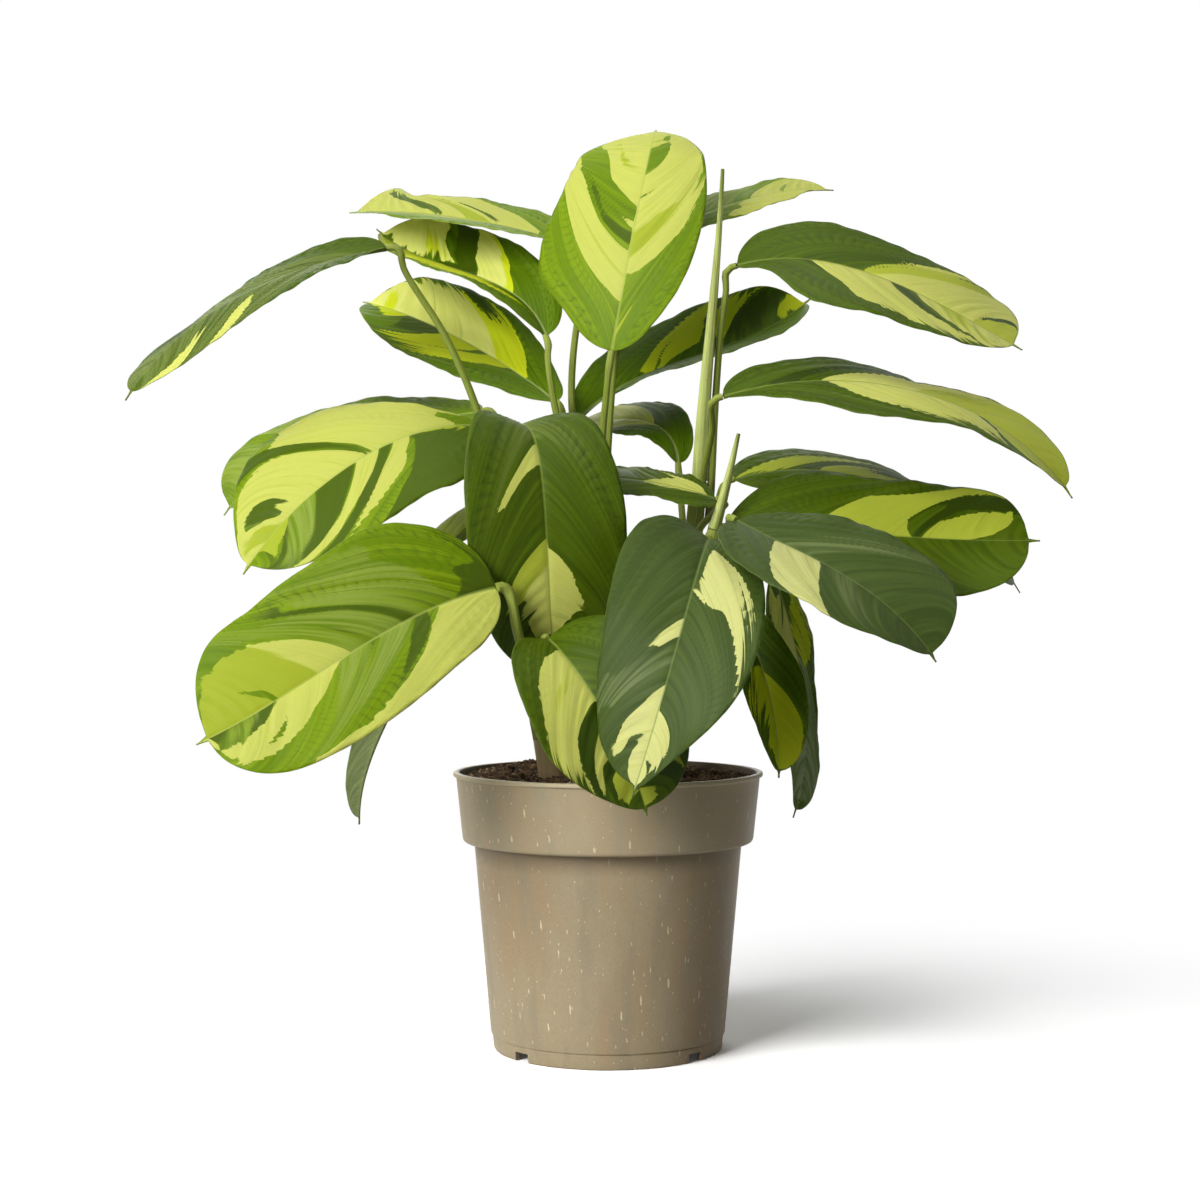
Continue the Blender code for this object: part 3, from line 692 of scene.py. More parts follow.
# SUNLIT, SHADED and BACKLIT are copies of one leaf colouring, made lighter or darker for how the light falls
# on each leaf: painted light and shade. BACKLIT's bright lime, cream and silver are a painted glow of light
# shining through the blade.
SUNLIT = LeafFinish("leaf_sunlit", (0.132, 0.228, 0.001), (0.218, 0.330, 0.003), (0.28, 0.36, 0.06),
                    (0.066, 0.112, 0.002), (0.38, 0.45, 0.028), (0.57, 0.60, 0.12), (0.33, 0.37, 0.10),
                    (0.38, 0.45, 0.09))
SHADED = LeafFinish("leaf_shaded", (0.050, 0.087, 0.001), (0.084, 0.138, 0.002), (0.15, 0.20, 0.035),
                    (0.030, 0.056, 0.001), (0.47, 0.53, 0.050), (0.64, 0.66, 0.15), (0.27, 0.31, 0.09),
                    (0.20, 0.26, 0.04))
COOL = LeafFinish("leaf_cool", (0.046, 0.077, 0.010), (0.072, 0.113, 0.019), (0.18, 0.23, 0.08),
                  (0.036, 0.060, 0.009), (0.42, 0.47, 0.07), (0.66, 0.67, 0.24), (0.28, 0.32, 0.14),
                  (0.16, 0.21, 0.06))
BACKLIT = LeafFinish("leaf_backlit", (0.088, 0.165, 0.002), (0.145, 0.250, 0.004), (0.56, 0.62, 0.36),
                     (0.052, 0.092, 0.001), (0.70, 0.79, 0.018), (0.84, 0.87, 0.22), (0.45, 0.50, 0.22),
                     (0.40, 0.46, 0.16))

STALK = StemFinish("stalk_green", (0.24, 0.22, 0.07), (0.21, 0.27, 0.03), (0.30, 0.36, 0.06))
CANE = StemFinish("cane_sheathed", (0.48, 0.28, 0.20), (0.30, 0.34, 0.07), (0.30, 0.36, 0.07), 0.5, 0.5)
ROLLED = StemFinish("rolled_leaf_green", (0.50, 0.58, 0.15), (0.56, 0.63, 0.19), (0.24, 0.30, 0.05), 0.4, 0.1)


# ---------------------------------------------------------------- meshes


def placed(name: str, data: bpy.types.ID, material: bpy.types.Material | None = None) -> bpy.types.Object:
    """Puts a new object in the scene.

    Args:
        name: Its name.
        data: Its mesh, curve, lamp or camera.
        material: The mesh's material, if it still needs one.

    Returns:
        The object.
    """
    made = bpy.data.objects.new(name, data)
    bpy.context.scene.collection.objects.link(made)
    if material:
        data.materials.append(material)
    return made


def mesh_of(bm: bmesh.types.BMesh, name: str) -> bpy.types.Mesh:
    """Turns a bmesh into a mesh.

    Args:
        bm: The bmesh, which is freed.
        name: The mesh's name.

    Returns:
        The mesh.
    """
    mesh = bpy.data.meshes.new(name)
    bm.to_mesh(mesh)
    bm.free()
    return mesh


def add_attribute(mesh: bpy.types.Mesh, name: str, values: Array) -> None:
    """Writes one vector for each point of a mesh."""
    layer = mesh.attributes.new(name, "FLOAT_VECTOR", "POINT")
    layer.data.foreach_set("vector", values.astype(np.float32).ravel())


def shell_faces(rows: int, columns: int) -> Array:
    """The faces that close two grids of points, top and bottom, into one shell.

    Args:
        rows: Rows of each grid.
        columns: Columns of each grid.

    Returns:
        Four point numbers for each face, turned out. The bottom grid's points follow the top's.
    """
    top = np.arange(rows * columns).reshape(rows, columns)
    low = top + rows * columns

    def quads(a: Array, b: Array, c: Array, d: Array) -> Array:
        """Faces from their four corners."""
        return np.stack([a.ravel(), b.ravel(), c.ravel(), d.ravel()], axis=1)

    return np.vstack([
        quads(top[:-1, :-1], top[:-1, 1:], top[1:, 1:], top[1:, :-1]),
        quads(low[:-1, :-1], low[1:, :-1], low[1:, 1:], low[:-1, 1:]),
        quads(top[0, 1:], top[0, :-1], low[0, :-1], low[0, 1:]),
        quads(top[-1, :-1], top[-1, 1:], low[-1, 1:], low[-1, :-1]),
        quads(top[:-1, 0], top[1:, 0], low[1:, 0], low[:-1, 0]),
        quads(top[1:, -1], top[:-1, -1], low[:-1, -1], low[1:, -1]),
    ])


def baked(source: bpy.types.Object, name: str) -> bpy.types.Object:
    """Makes a plain mesh of what an object's modifiers give.

    Args:
        source: The object, which is removed with its modifiers.
        name: The name of the result.

    Returns:
        The new object.
    """
    view = bpy.context.evaluated_depsgraph_get()
    mesh = bpy.data.meshes.new_from_object(source.evaluated_get(view))
    mesh.name = name
    data = source.data
    bpy.data.objects.remove(source)
    if isinstance(data, bpy.types.Curve):
        bpy.data.curves.remove(data)
    return placed(name, mesh)


def settle(piece: bpy.types.Object, slot: str, *nodes: str) -> None:
    """Fixes a finished piece to the object.

    Args:
        piece: The piece.
        slot: Not used.
        nodes: The CAD nodes that it stands for.
    """
    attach(piece, "root")
    if nodes:
        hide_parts(*nodes)
    log.info("%s: %d faces, for %s", piece.name, len(piece.data.polygons), ", ".join(nodes) or "detail")


# ---------------------------------------------------------------- canes, stalks and rolled leaves


GAP = 0.3  # clearance between pieces that touch
CLASP = 14.0  # length that a stalk runs beside its cane
NECK = 3.0  # length that a stalk runs straight into its blade
KNEE = 4.5  # length of the bend below the neck
STALK_SWELL = 0.6  # how much thicker a stalk is at its foot


class StemTree(GeometryTree):
    """Geometry nodes that sweep a ridged round section along a curve, as thick as its points say."""

    def __init__(self) -> None:
        """Builds the tree once for every stem."""
        super().__init__("stem", {"Sides": "Int", "Ridges": "Float", "Ridge depth": "Float",
                                  "Material": "Material"})
        share = self.node("GeometryNodeSplineParameter").of("Factor")
        path = self.store(self.given.of("Geometry"), "along", share)
        ring = self.circle(self.given.of("Sides"), MM)
        turn = share * math.tau
        swell = 1.0 + self.math("COSINE", turn * self.given.of("Ridges")) * self.given.of("Ridge depth")
        at = self.node("GeometryNodeInputPosition")
        ridged = self.node("ShaderNodeVectorMath", {"operation": "SCALE"}, {"Vector": at, "Scale": swell})
        ring = self.node("GeometryNodeSetPosition", values={"Geometry": ring, "Position": ridged})
        ring = self.store(ring, "around", share)
        thickness = self.node("GeometryNodeInputRadius")
        swept = self.node("GeometryNodeCurveToMesh", values={"Curve": path, "Profile Curve": ring,
                                                             "Scale": thickness, "Fill Caps": True})
        self.close(self.node("GeometryNodeSetShadeSmooth", values={"Geometry": swept}))

    def sweep(self, name: str, places: Array, radii: Array, settings: dict) -> bpy.types.Object:
        """Sweeps one stem.

        Args:
            name: The piece's name.
            places: The places it runs through, in mm.
            radii: Its radius at each place, in mm.
            settings: A value for each of the tree's settings, by name.

        Returns:
            The stem, as a plain mesh.
        """
        curve = bpy.data.curves.new(name + "_path", "CURVE")
        curve.dimensions = "3D"
        path = curve.splines.new("POLY")
        path.points.add(len(places) - 1)
        for point, place, radius in zip(path.points, places, radii):
            point.co = (*(place * MM), 1.0)
            point.radius = radius
        return self.run(placed(name + "_path", curve), name, settings)


@dataclass(frozen=True)
class Cane:
    """An upright shoot of clasped leaf bases, or a rolled leaf, which narrows from foot to top.

    Attributes:
        name: The name of its CAD node.
        route: The points that it runs through, from foot to top.
    """

    name: str
    route: tuple
    foot_radius: float
    top_radius: float
    finish: StemFinish = CANE
    ridges: float = 5.0
    ridge_depth: float = 0.035
    rings: int = 90
    sides: int = 48

    def at(self, height: float) -> tuple[Array, Array, float]:
        """Follows the cane up.

        Args:
            height: A distance along it from its foot, in mm.

        Returns:
            Its place, direction and radius there.
        """
        share = height / smooth_curve(self.route, (0,))[1]
        nearby = np.clip((share - LOOK_AHEAD, share, share + LOOK_AHEAD), 0, 1)
        (below, place, above), _ = smooth_curve(self.route, nearby)
        radius = self.foot_radius + (self.top_radius - self.foot_radius) * share
        return place, unit(above - below), radius

    def build(self, stems: StemTree, finishes: dict) -> bpy.types.Object:
        """Builds the cane, which stands for the CAD node of its name.

        Args:
            stems: The tree that sweeps it.
            finishes: The materials by name.

        Returns:
            The cane.
        """
        shares = np.linspace(0, 1, self.rings)
        places, _ = smooth_curve(self.route, shares)
        radii = self.foot_radius + (self.top_radius - self.foot_radius) * shares
        settings = {"Sides": self.sides, "Ridges": self.ridges, "Ridge depth": self.ridge_depth,
                    "Material": finishes[self.finish.name]}
        piece = stems.sweep(self.name + "_shoot", places, radii, settings)
        settle(piece, "cane" if self.finish is CANE else "rolled_leaf", self.name)
        return piece


@dataclass(frozen=True)
class Stalk:
    """A leaf's stalk.

    Attributes:
        cane: The cane that it clasps.
        height: How far up the cane it leaves it.
        side: The heading in which it leaves it.
        via: Points on its way to the blade.
    """

    cane: str
    height: float
    side: float
    via: tuple = ()
    radius: float = 1.7
    sides: int = 20
    step: float = 3.0
    knee_length: float = 13.0
    knee_swell: float = 0.22
    knee_middle: float = 0.55  # share of the knee's length from the blade
    knee_narrowness: float = 6.0
    ridges: float = 3.0
    ridge_depth: float = 0.05

    def points(self, canes: dict, base: Array, along: Array) -> list:
        """The points it runs through: beside its cane, on its way, round its knee, into its blade.

        Args:
            canes: The canes by name.
            base: Where the blade's midrib starts.
            along: The midrib's direction there.

        Returns:
            The points, in mm.
        """
        cane = canes[self.cane]
        angle = math.radians(self.side)
        out = np.array([math.cos(angle), math.sin(angle), 0.0])
        points = []
        for height in (self.height - CLASP, self.height):
            place, upward, radius = cane.at(height)
            away = unit(out - (out @ upward) * upward)
            points.append(place + away * (radius + self.radius + STALK_SWELL + GAP))
        points.extend(np.array(self.via, float).reshape(-1, 3))
        end = base - along * GAP
        neck = end - along * NECK
        knee = neck - unit(along + unit(neck - points[-1])) * KNEE
        return [*points, knee, neck, end]

    def build(self, name: str, stems: StemTree, finishes: dict, points: list) -> bpy.types.Object:
        """Builds the stalk, thickened at its knee, for the CAD node of its name.

        Args:
            name: The CAD node's name.
            stems: The tree that sweeps it.
            finishes: The materials by name.
            points: The points it runs through, in mm.

        Returns:
            The stalk.
        """
        places = spline(points, self.step)
        run = distances(places)
        from_blade = (run[-1] - run) / self.knee_length
        swell = self.knee_swell * np.exp(-((from_blade - self.knee_middle) ** 2) * self.knee_narrowness)
        radii = (self.radius + STALK_SWELL * (1 - run / run[-1])) * (1 + swell)
        settings = {"Sides": self.sides, "Ridges": self.ridges, "Ridge depth": self.ridge_depth,
                    "Material": finishes[STALK.name]}
        piece = stems.sweep(name + "_petiole", places, radii, settings)
        settle(piece, "stalk", name)
        return piece


# ---------------------------------------------------------------- blades


BODY_END = 0.965  # share of the midrib where the round blade ends and the drip tip goes on
TIP_START = 0.88
TIP_SHARE = 0.11  # half width of the drip tip's root, as a share of the blade's half width
BASE_FULLNESS = 2.0
BASE_HALF_WIDTH = 1.4
TIP_HALF_WIDTH = 0.35
STATIONS = (0.1, 0.25, 0.4, 0.55, 0.7, 0.85, 0.95)  # shares of the midrib where Half.trim holds
TRIM_BLEND = (-0.06, -0.03, 0.0, 0.03, 0.06)  # trims are averaged over these shifts
VEIN_REACH = 0.62  # how far towards the tip a vein runs on its way to the margin
VEIN_SWEEP = 1.25
VEIN_SLANT = 0.8  # distance across the veins for a step along the midrib
FRAY = 0.11  # how much slower a patch's depth falls along the veins than across them
PATTERN_UNIT = 100.0  # mm to one unit of the finish's coordinates
PATTERN_SHIFT = 0.37  # how far a step in a leaf's seed moves it through the noise
END_CLOSENESS = 0.4  # how much closer the grid's rows are at the blade's ends
RIB_CLOSENESS = 1.25  # and its columns at the midrib
TIP_FADE = 6.0  # how fast the relief fades towards the tip
BASE_FADE = 12.0
LEFT_WAVES = (1.6, 2.9, 4.4)  # how many times the left margin waves from base to tip
RIGHT_WAVES = (1.4, 3.1, 4.7)
SWELL_WAVES = (2.1, 3.7, 5.2)
RIB_SHIFTS = (1.7, 3.1, 4.3)
RIB_HEIGHTS = (1.1, 2.3)


@dataclass(frozen=True)
class Half:
    """Half of a blade, on one side of its midrib.

    Attributes:
        width: Its greatest width.
        rise: How far it stands above level, at places evenly spaced from the leaf's base to its tip.
        curl: How far its margin bends down.
        widest: The share of the midrib where it is widest.
        fullness: How round it stays towards the tip.
        trim: The leaf's own width at each of the STATIONS, as a share of the plain outline's.
    """

    width: float
    rise: tuple
    curl: float = 10.0
    widest: float = 0.48
    fullness: float = 2.5
    trim: tuple = (1, 1, 1, 1, 1, 1, 1)

    def at(self, t: Array) -> Array:
        """Measures the half blade.

        Args:
            t: Shares of the midrib.

        Returns:
            The half blade's width there, in mm.
        """
        towards_base = np.clip(1 - t / self.widest, 0, 1)
        towards_tip = np.clip((t - self.widest) / (BODY_END - self.widest), 0, 1)
        base_side = np.sqrt(1 - towards_base**BASE_FULLNESS)
        tip_side = np.sqrt(1 - towards_tip**self.fullness)
        drip_tip = TIP_SHARE * np.clip((1 - t) / (1 - TIP_START), 0, 1)
        trim = np.mean([np.interp(t + shift, STATIONS, self.trim) for shift in TRIM_BLEND], axis=0)
        share = np.where(t < self.widest, base_side * trim, np.maximum(tip_side * trim, drip_tip))
        return np.maximum(share * self.width, np.where(t < 0.5, BASE_HALF_WIDTH, TIP_HALF_WIDTH))


@dataclass(frozen=True)
class Mark:
    """A patch of one tone between two veins of a half blade. Veins are numbered by the share of the
    midrib where they leave it.

    Each stop is a distance out from the midrib and the two veins that bound the patch there, all in
    per cent. A patch that starts at 0 or ends at 100 runs right up to the midrib or the margin.
    """

    side: Side
    tone: Tone
    stops: tuple

    def depth(self, vein: Array, across: Array, length: float, width: float) -> Array:
        """How far inside the patch each point is, in mm across the veins.

        Args:
            vein: The points' vein numbers.
            across: How far out they are, from 0 to 1.
            length: The midrib's length, in mm.
            width: The half blade's width, in mm.

        Returns:
            The depth, which is negative outside. It falls slowly along the veins, so that the
            patch's ends fray into points there.
        """
        out, low, high = np.array(self.stops, float).T / 100
        depth = np.minimum(vein - np.interp(across, out, low), np.interp(across, out, high) - vein)
        depth = depth * length * VEIN_SLANT
        if out[0] > 0:
            depth = np.minimum(depth, (across - out[0]) * width * FRAY)
        if out[-1] < 1:
            depth = np.minimum(depth, (out[-1] - across) * width * FRAY)
        return depth


@dataclass(frozen=True)
class Part:
    """One part of a blade's pattern.

    Attributes:
        adding: The tones whose patches are in it.
        taking: The tones whose patches cover it.
        lead: How far it runs past its patches.
    """

    adding: tuple
    taking: tuple
    lead: float = 0.0


PARTS = (
    Part((LIME, CREAM), (GREEN, DEEP, SILVER)),  # all that is pale
    Part((CREAM,), (LIME,), 1.0),  # where the pale is cream
    Part((DEEP,), (GREEN, SILVER)),
    Part((SILVER,), (GREEN, DEEP, LIME, CREAM)),
)


def left(tone: Tone, *stops: tuple) -> Mark:
    """A patch on the left half."""
    return Mark(LEFT, tone, stops)


def right(tone: Tone, *stops: tuple) -> Mark:
    """A patch on the right half."""
    return Mark(RIGHT, tone, stops)


@dataclass(frozen=True)
class Leaf:
    """One leaf.

    Attributes:
        rib: The points that its midrib runs through, from base to tip.
        left, right: Its two halves, as seen along the midrib.
        stalk: Its stalk.
        heading: The midrib's heading, where that isn't the way from base to tip.
        marks: Its patches. A later one covers an earlier one.
        seed: Picks its waves and streaks.
    """

    name: str
    rib: tuple
    left: Half
    right: Half
    stalk: Stalk
    heading: float | None = None
    finish: LeafFinish = SUNLIT
    marks: tuple = ()
    seed: int = 1
    rows: int = 112
    columns: int = 24  # on each side of the midrib
    thickness: float = 0.42
    margin_thickness: float = 0.22
    groove_depth: float = 0.45
    groove_width: float = 1.3
    groove_fade: float = 0.6  # share of its depth that the groove has lost at the tip
    keel: float = 1.0
    keel_width: float = 1.1
    keel_fade: float = 0.75
    rib_halves: tuple = (1.1, 0.7, 0.3)  # half widths of the pale midrib at the shares in rib_shares
    rib_shares: tuple = (0.0, 0.15, 1.0)
    vein_spacing: float = 9.5
    vein_relief: float = 0.36
    vein_start: float = 6.0  # distance from the midrib where the ribbing is at its full height
    swell: float = 0.3
    wave: float = 0.6

    def rib_frame(self, t: Array) -> tuple[Array, Array, Array, Array]:
        """Follows the midrib.

        Args:
            t: Shares of the midrib.

        Returns:
            Its places, tangents, level right-hand directions and upward normals there.
        """
        place, _ = smooth_curve(self.rib, t)
        ahead, _ = smooth_curve(self.rib, np.clip(t + LOOK_AHEAD, 0, 1))
        behind, _ = smooth_curve(self.rib, np.clip(t - LOOK_AHEAD, 0, 1))
        tangent = unit(ahead - behind)
        run = np.subtract(self.rib[-1], self.rib[0])
        heading = math.atan2(run[1], run[0]) if self.heading is None else math.radians(self.heading)
        level = np.array([math.sin(heading), -math.cos(heading), 0.0])
        rightward = unit(level - (tangent @ level)[:, None] * tangent)
        return place, tangent, rightward, np.cross(rightward, tangent)

    def surface(self, t: Array, v: Array) -> Array:
        """Shapes the blade's middle surface. Each half leaves the midrib at its rise and bends down by
        its curl on its way to the margin.

        Args:
            t: Shares along the midrib.
            v: Shares across, from -1 at the left margin to 1 at the right.

        Returns:
            The place of every t and v, in mm.
        """
        place, _, rightward, normal = self.rib_frame(t)
        surface = np.empty((len(t), len(v), 3))
        for column, across in enumerate(v):
            half = self.right if across >= 0 else self.left
            rise = np.radians(np.interp(t, np.linspace(0, 1, len(half.rise)), half.rise))
            bend = math.radians(half.curl) / half.width
            run = abs(across) * half.at(t)
            out = (np.sin(rise) - np.sin(rise - bend * run)) / bend
            up = (np.cos(rise - bend * run) - np.cos(rise)) / bend
            side = math.copysign(1, across)
            surface[:, column] = place + side * out[:, None] * rightward + up[:, None] * normal
        return surface

    def grid(self) -> tuple[Array, Array]:
        """Spaces the blade's points, closer at its ends and its midrib.

        Returns:
            The shares along and across.
        """
        even = np.linspace(0, 1, self.rows + 1)
        t = even * (1 - END_CLOSENESS) + END_CLOSENESS * (1 - np.cos(math.pi * even)) / 2
        x = np.linspace(-1, 1, 2 * self.columns + 1)
        return t, np.sign(x) * np.abs(x) ** RIB_CLOSENESS

    def veins(self, t: Array, v: Array) -> Array:
        """Every point's vein number: the share of the midrib where its vein leaves it."""
        sweep = VEIN_REACH * np.abs(v)[None, :] ** VEIN_SWEEP
        return (t[:, None] - sweep) / (1 - sweep)

    def relief(self, t: Array, v: Array, vein: Array, length: float) -> Array:
        """Shapes the blade's top: the groove along the midrib, the ribbing between the veins and the
        waves of the margin.

        Args:
            t: The grid's shares along the midrib.
            v: The grid's shares across.
            vein: The points' vein numbers.
            length: The midrib's length, in mm.

        Returns:
            How far each point stands above the smooth surface, in mm.
        """
        out = np.abs(v)[None, :]
        from_rib = out * self.widths(t, v)
        taper = np.clip((1 - t) * TIP_FADE, 0, 1)[:, None] * np.clip(t * BASE_FADE, 0, 1)[:, None]
        groove = -self.groove_depth * np.exp(-((from_rib / self.groove_width) ** 2))
        groove = groove * (1 - self.groove_fade * t[:, None])
        outward = np.clip(from_rib / self.vein_start, 0, 1)
        ribbing = self.vein_relief * self.ribbing(vein, length)
        swell = self.swell * ripple(self.seed + 7, SWELL_WAVES, vein) * out
        waves = np.where(v[None, :] < 0, ripple(self.seed + 1, LEFT_WAVES, t)[:, None],
                         ripple(self.seed + 2, RIGHT_WAVES, t)[:, None])
        margin = self.wave * waves * out**2.5
        flat_margin = 1 - out**4
        return groove + taper * (outward * flat_margin * ribbing + swell + margin)

    def ribbing(self, vein: Array, length: float) -> Array:
        """Shapes the ribs between the veins.

        Args:
            vein: The points' vein numbers.
            length: The midrib's length, in mm.

        Returns:
            -1 in the grooves to 1 on the ridges.
        """
        phase = math.tau * vein * length / self.vein_spacing
        wobble = 2.0 * ripple(self.seed + 5, RIB_SHIFTS, vein)
        return np.sin(phase + wobble) * (0.7 + 0.3 * ripple(self.seed + 6, RIB_HEIGHTS, vein))

    def widths(self, t: Array, v: Array) -> Array:
        """The width of the half blade that each point is on, in mm."""
        return np.where(v[None, :] < 0, self.left.at(t)[:, None], self.right.at(t)[:, None])

    def tones(self, v: Array, vein: Array, length: float) -> Array:
        """How far each point is inside each of the PARTS, in mm.

        Args:
            v: Shares across.
            vein: The points' vein numbers.
            length: The midrib's length, in mm.

        Returns:
            A number for each point and part, negative outside.
        """
        depths = np.full((*vein.shape, len(PARTS)), -FAR)
        across = np.broadcast_to(np.abs(v), vein.shape)
        for mark in self.marks:
            half = self.right if mark.side is RIGHT else self.left
            on_side = v * mark.side.value >= -1e-9
            depth = np.where(on_side, mark.depth(vein, across, length, half.width), -FAR)
            for number, part in enumerate(PARTS):
                if mark.tone in part.adding:
                    depths[..., number] = np.maximum(depths[..., number], depth + part.lead)
                elif mark.tone in part.taking:
                    depths[..., number] = np.minimum(depths[..., number], -depth)
        return depths

    def build(self, finishes: dict) -> bpy.types.Object:
        """Builds the blade as a closed shell, which stands for the CAD node of its name.

        Args:
            finishes: The materials by name.

        Returns:
            The blade.
        """
        t, v = self.grid()
        length = smooth_curve(self.rib, (0,))[1]
        vein = self.veins(t, v)
        middle = self.surface(t, v)
        along = np.gradient(middle, axis=0)
        across = np.gradient(middle, axis=1)
        normal = unit(np.cross(across, along))
        middle = middle + self.relief(t, v, vein, length)[..., None] * normal
        normal = unit(np.cross(np.gradient(middle, axis=1), np.gradient(middle, axis=0)))
        from_rib = np.abs(v)[None, :] * self.widths(t, v)
        thick = np.interp(np.abs(v), (0.0, 0.9, 1.0),
                          (self.thickness, self.thickness * 0.9, self.margin_thickness))
        keel = self.keel * np.exp(-((from_rib / self.keel_width) ** 2)) * (1 - self.keel_fade * t[:, None])
        top = middle + normal * thick[None, :, None] / 2
        low = middle - normal * (thick[None, :] / 2 + keel)[..., None]
        points = np.vstack([top.reshape(-1, 3), low.reshape(-1, 3)])
        mesh = bpy.data.meshes.new(self.name + "_blade")
        mesh.from_pydata((points * MM).tolist(), [], shell_faces(len(t), len(v)).tolist())
        mesh.shade_smooth()
        self.attributes(mesh, t, v, vein, length)
        piece = placed(self.name + "_blade", mesh, finishes[self.finish.name])
        settle(piece, "leaf", self.name + "_leaf")
        return piece

    def attributes(self, mesh: bpy.types.Mesh, t: Array, v: Array, vein: Array, length: float) -> None:
        """Writes what the leaf finish reads: the coordinates along the veins, the tones' depths, the
        distance to the midrib and to the margin, and which points are underneath or on a ridge.

        Args:
            mesh: The blade's mesh, with its top's points first.
            t: The grid's shares along the midrib.
            v: The grid's shares across.
            vein: The points' vein numbers.
            length: The midrib's length, in mm.
        """
        widths = self.widths(t, v)
        across = v[None, :] * widths
        shift = np.full(vein.shape, self.seed * PATTERN_SHIFT)
        veins = np.stack([vein * length / PATTERN_UNIT, across / PATTERN_UNIT, shift], axis=-1)
        rib_by = np.abs(across) - np.interp(t, self.rib_shares, self.rib_halves)[:, None]
        margin_by = (1 - np.abs(v)[None, :]) * widths
        tones = self.tones(v, vein, length)
        place = np.stack([rib_by, margin_by, tones[..., 3]], axis=-1)
        for name, values in (("vein", veins), ("tone", tones[..., :3]), ("place", place)):
            flat = values.reshape(-1, 3)
            add_attribute(mesh, name, np.vstack([flat, flat]))
        ridge = self.ribbing(vein, length).ravel()
        level = np.zeros(vein.size)
        top = np.stack([level, ridge, level], axis=-1)
        low = np.stack([level + 1, ridge, level], axis=-1)
        add_attribute(mesh, "side", np.vstack([top, low]))


CANES = (
    Cane("cane_left", ((-27, -26, 124), (-30, -26, 150), (-38, -26, 196), (-46, -24, 250), (-52, -16, 310)),
         8.0, 4.0),
    Cane("cane_centre", ((-4, 12, 124), (-4, 12, 150), (-4, 14, 200), (-5, 14, 260), (-3, 8, 325)), 6.0, 3.6),
    Cane("cane_right", ((34, 12, 124), (34, 12, 150), (39, 8, 200), (45, 3, 255), (50, 0, 310)), 6.5, 4.6),
    Cane("cane_front", ((30, -30, 124), (31, -31, 150), (38, -34, 190), (47, -38, 235), (56, -42, 282)),
         6.0, 3.4),
    Cane("rolled_leaf_tall", ((50, 0, 310.6), (54, -1, 370), (59, -1, 425), (63, 0, 482)), 4.4, 1.0,
         ROLLED, 3.0, 0.09),
    Cane("rolled_leaf_short", ((56, -42, 282.6), (61, -43, 300), (65, -43, 316), (69, -42, 333)), 3.2, 1.0,
         ROLLED, 3.0, 0.09),
)

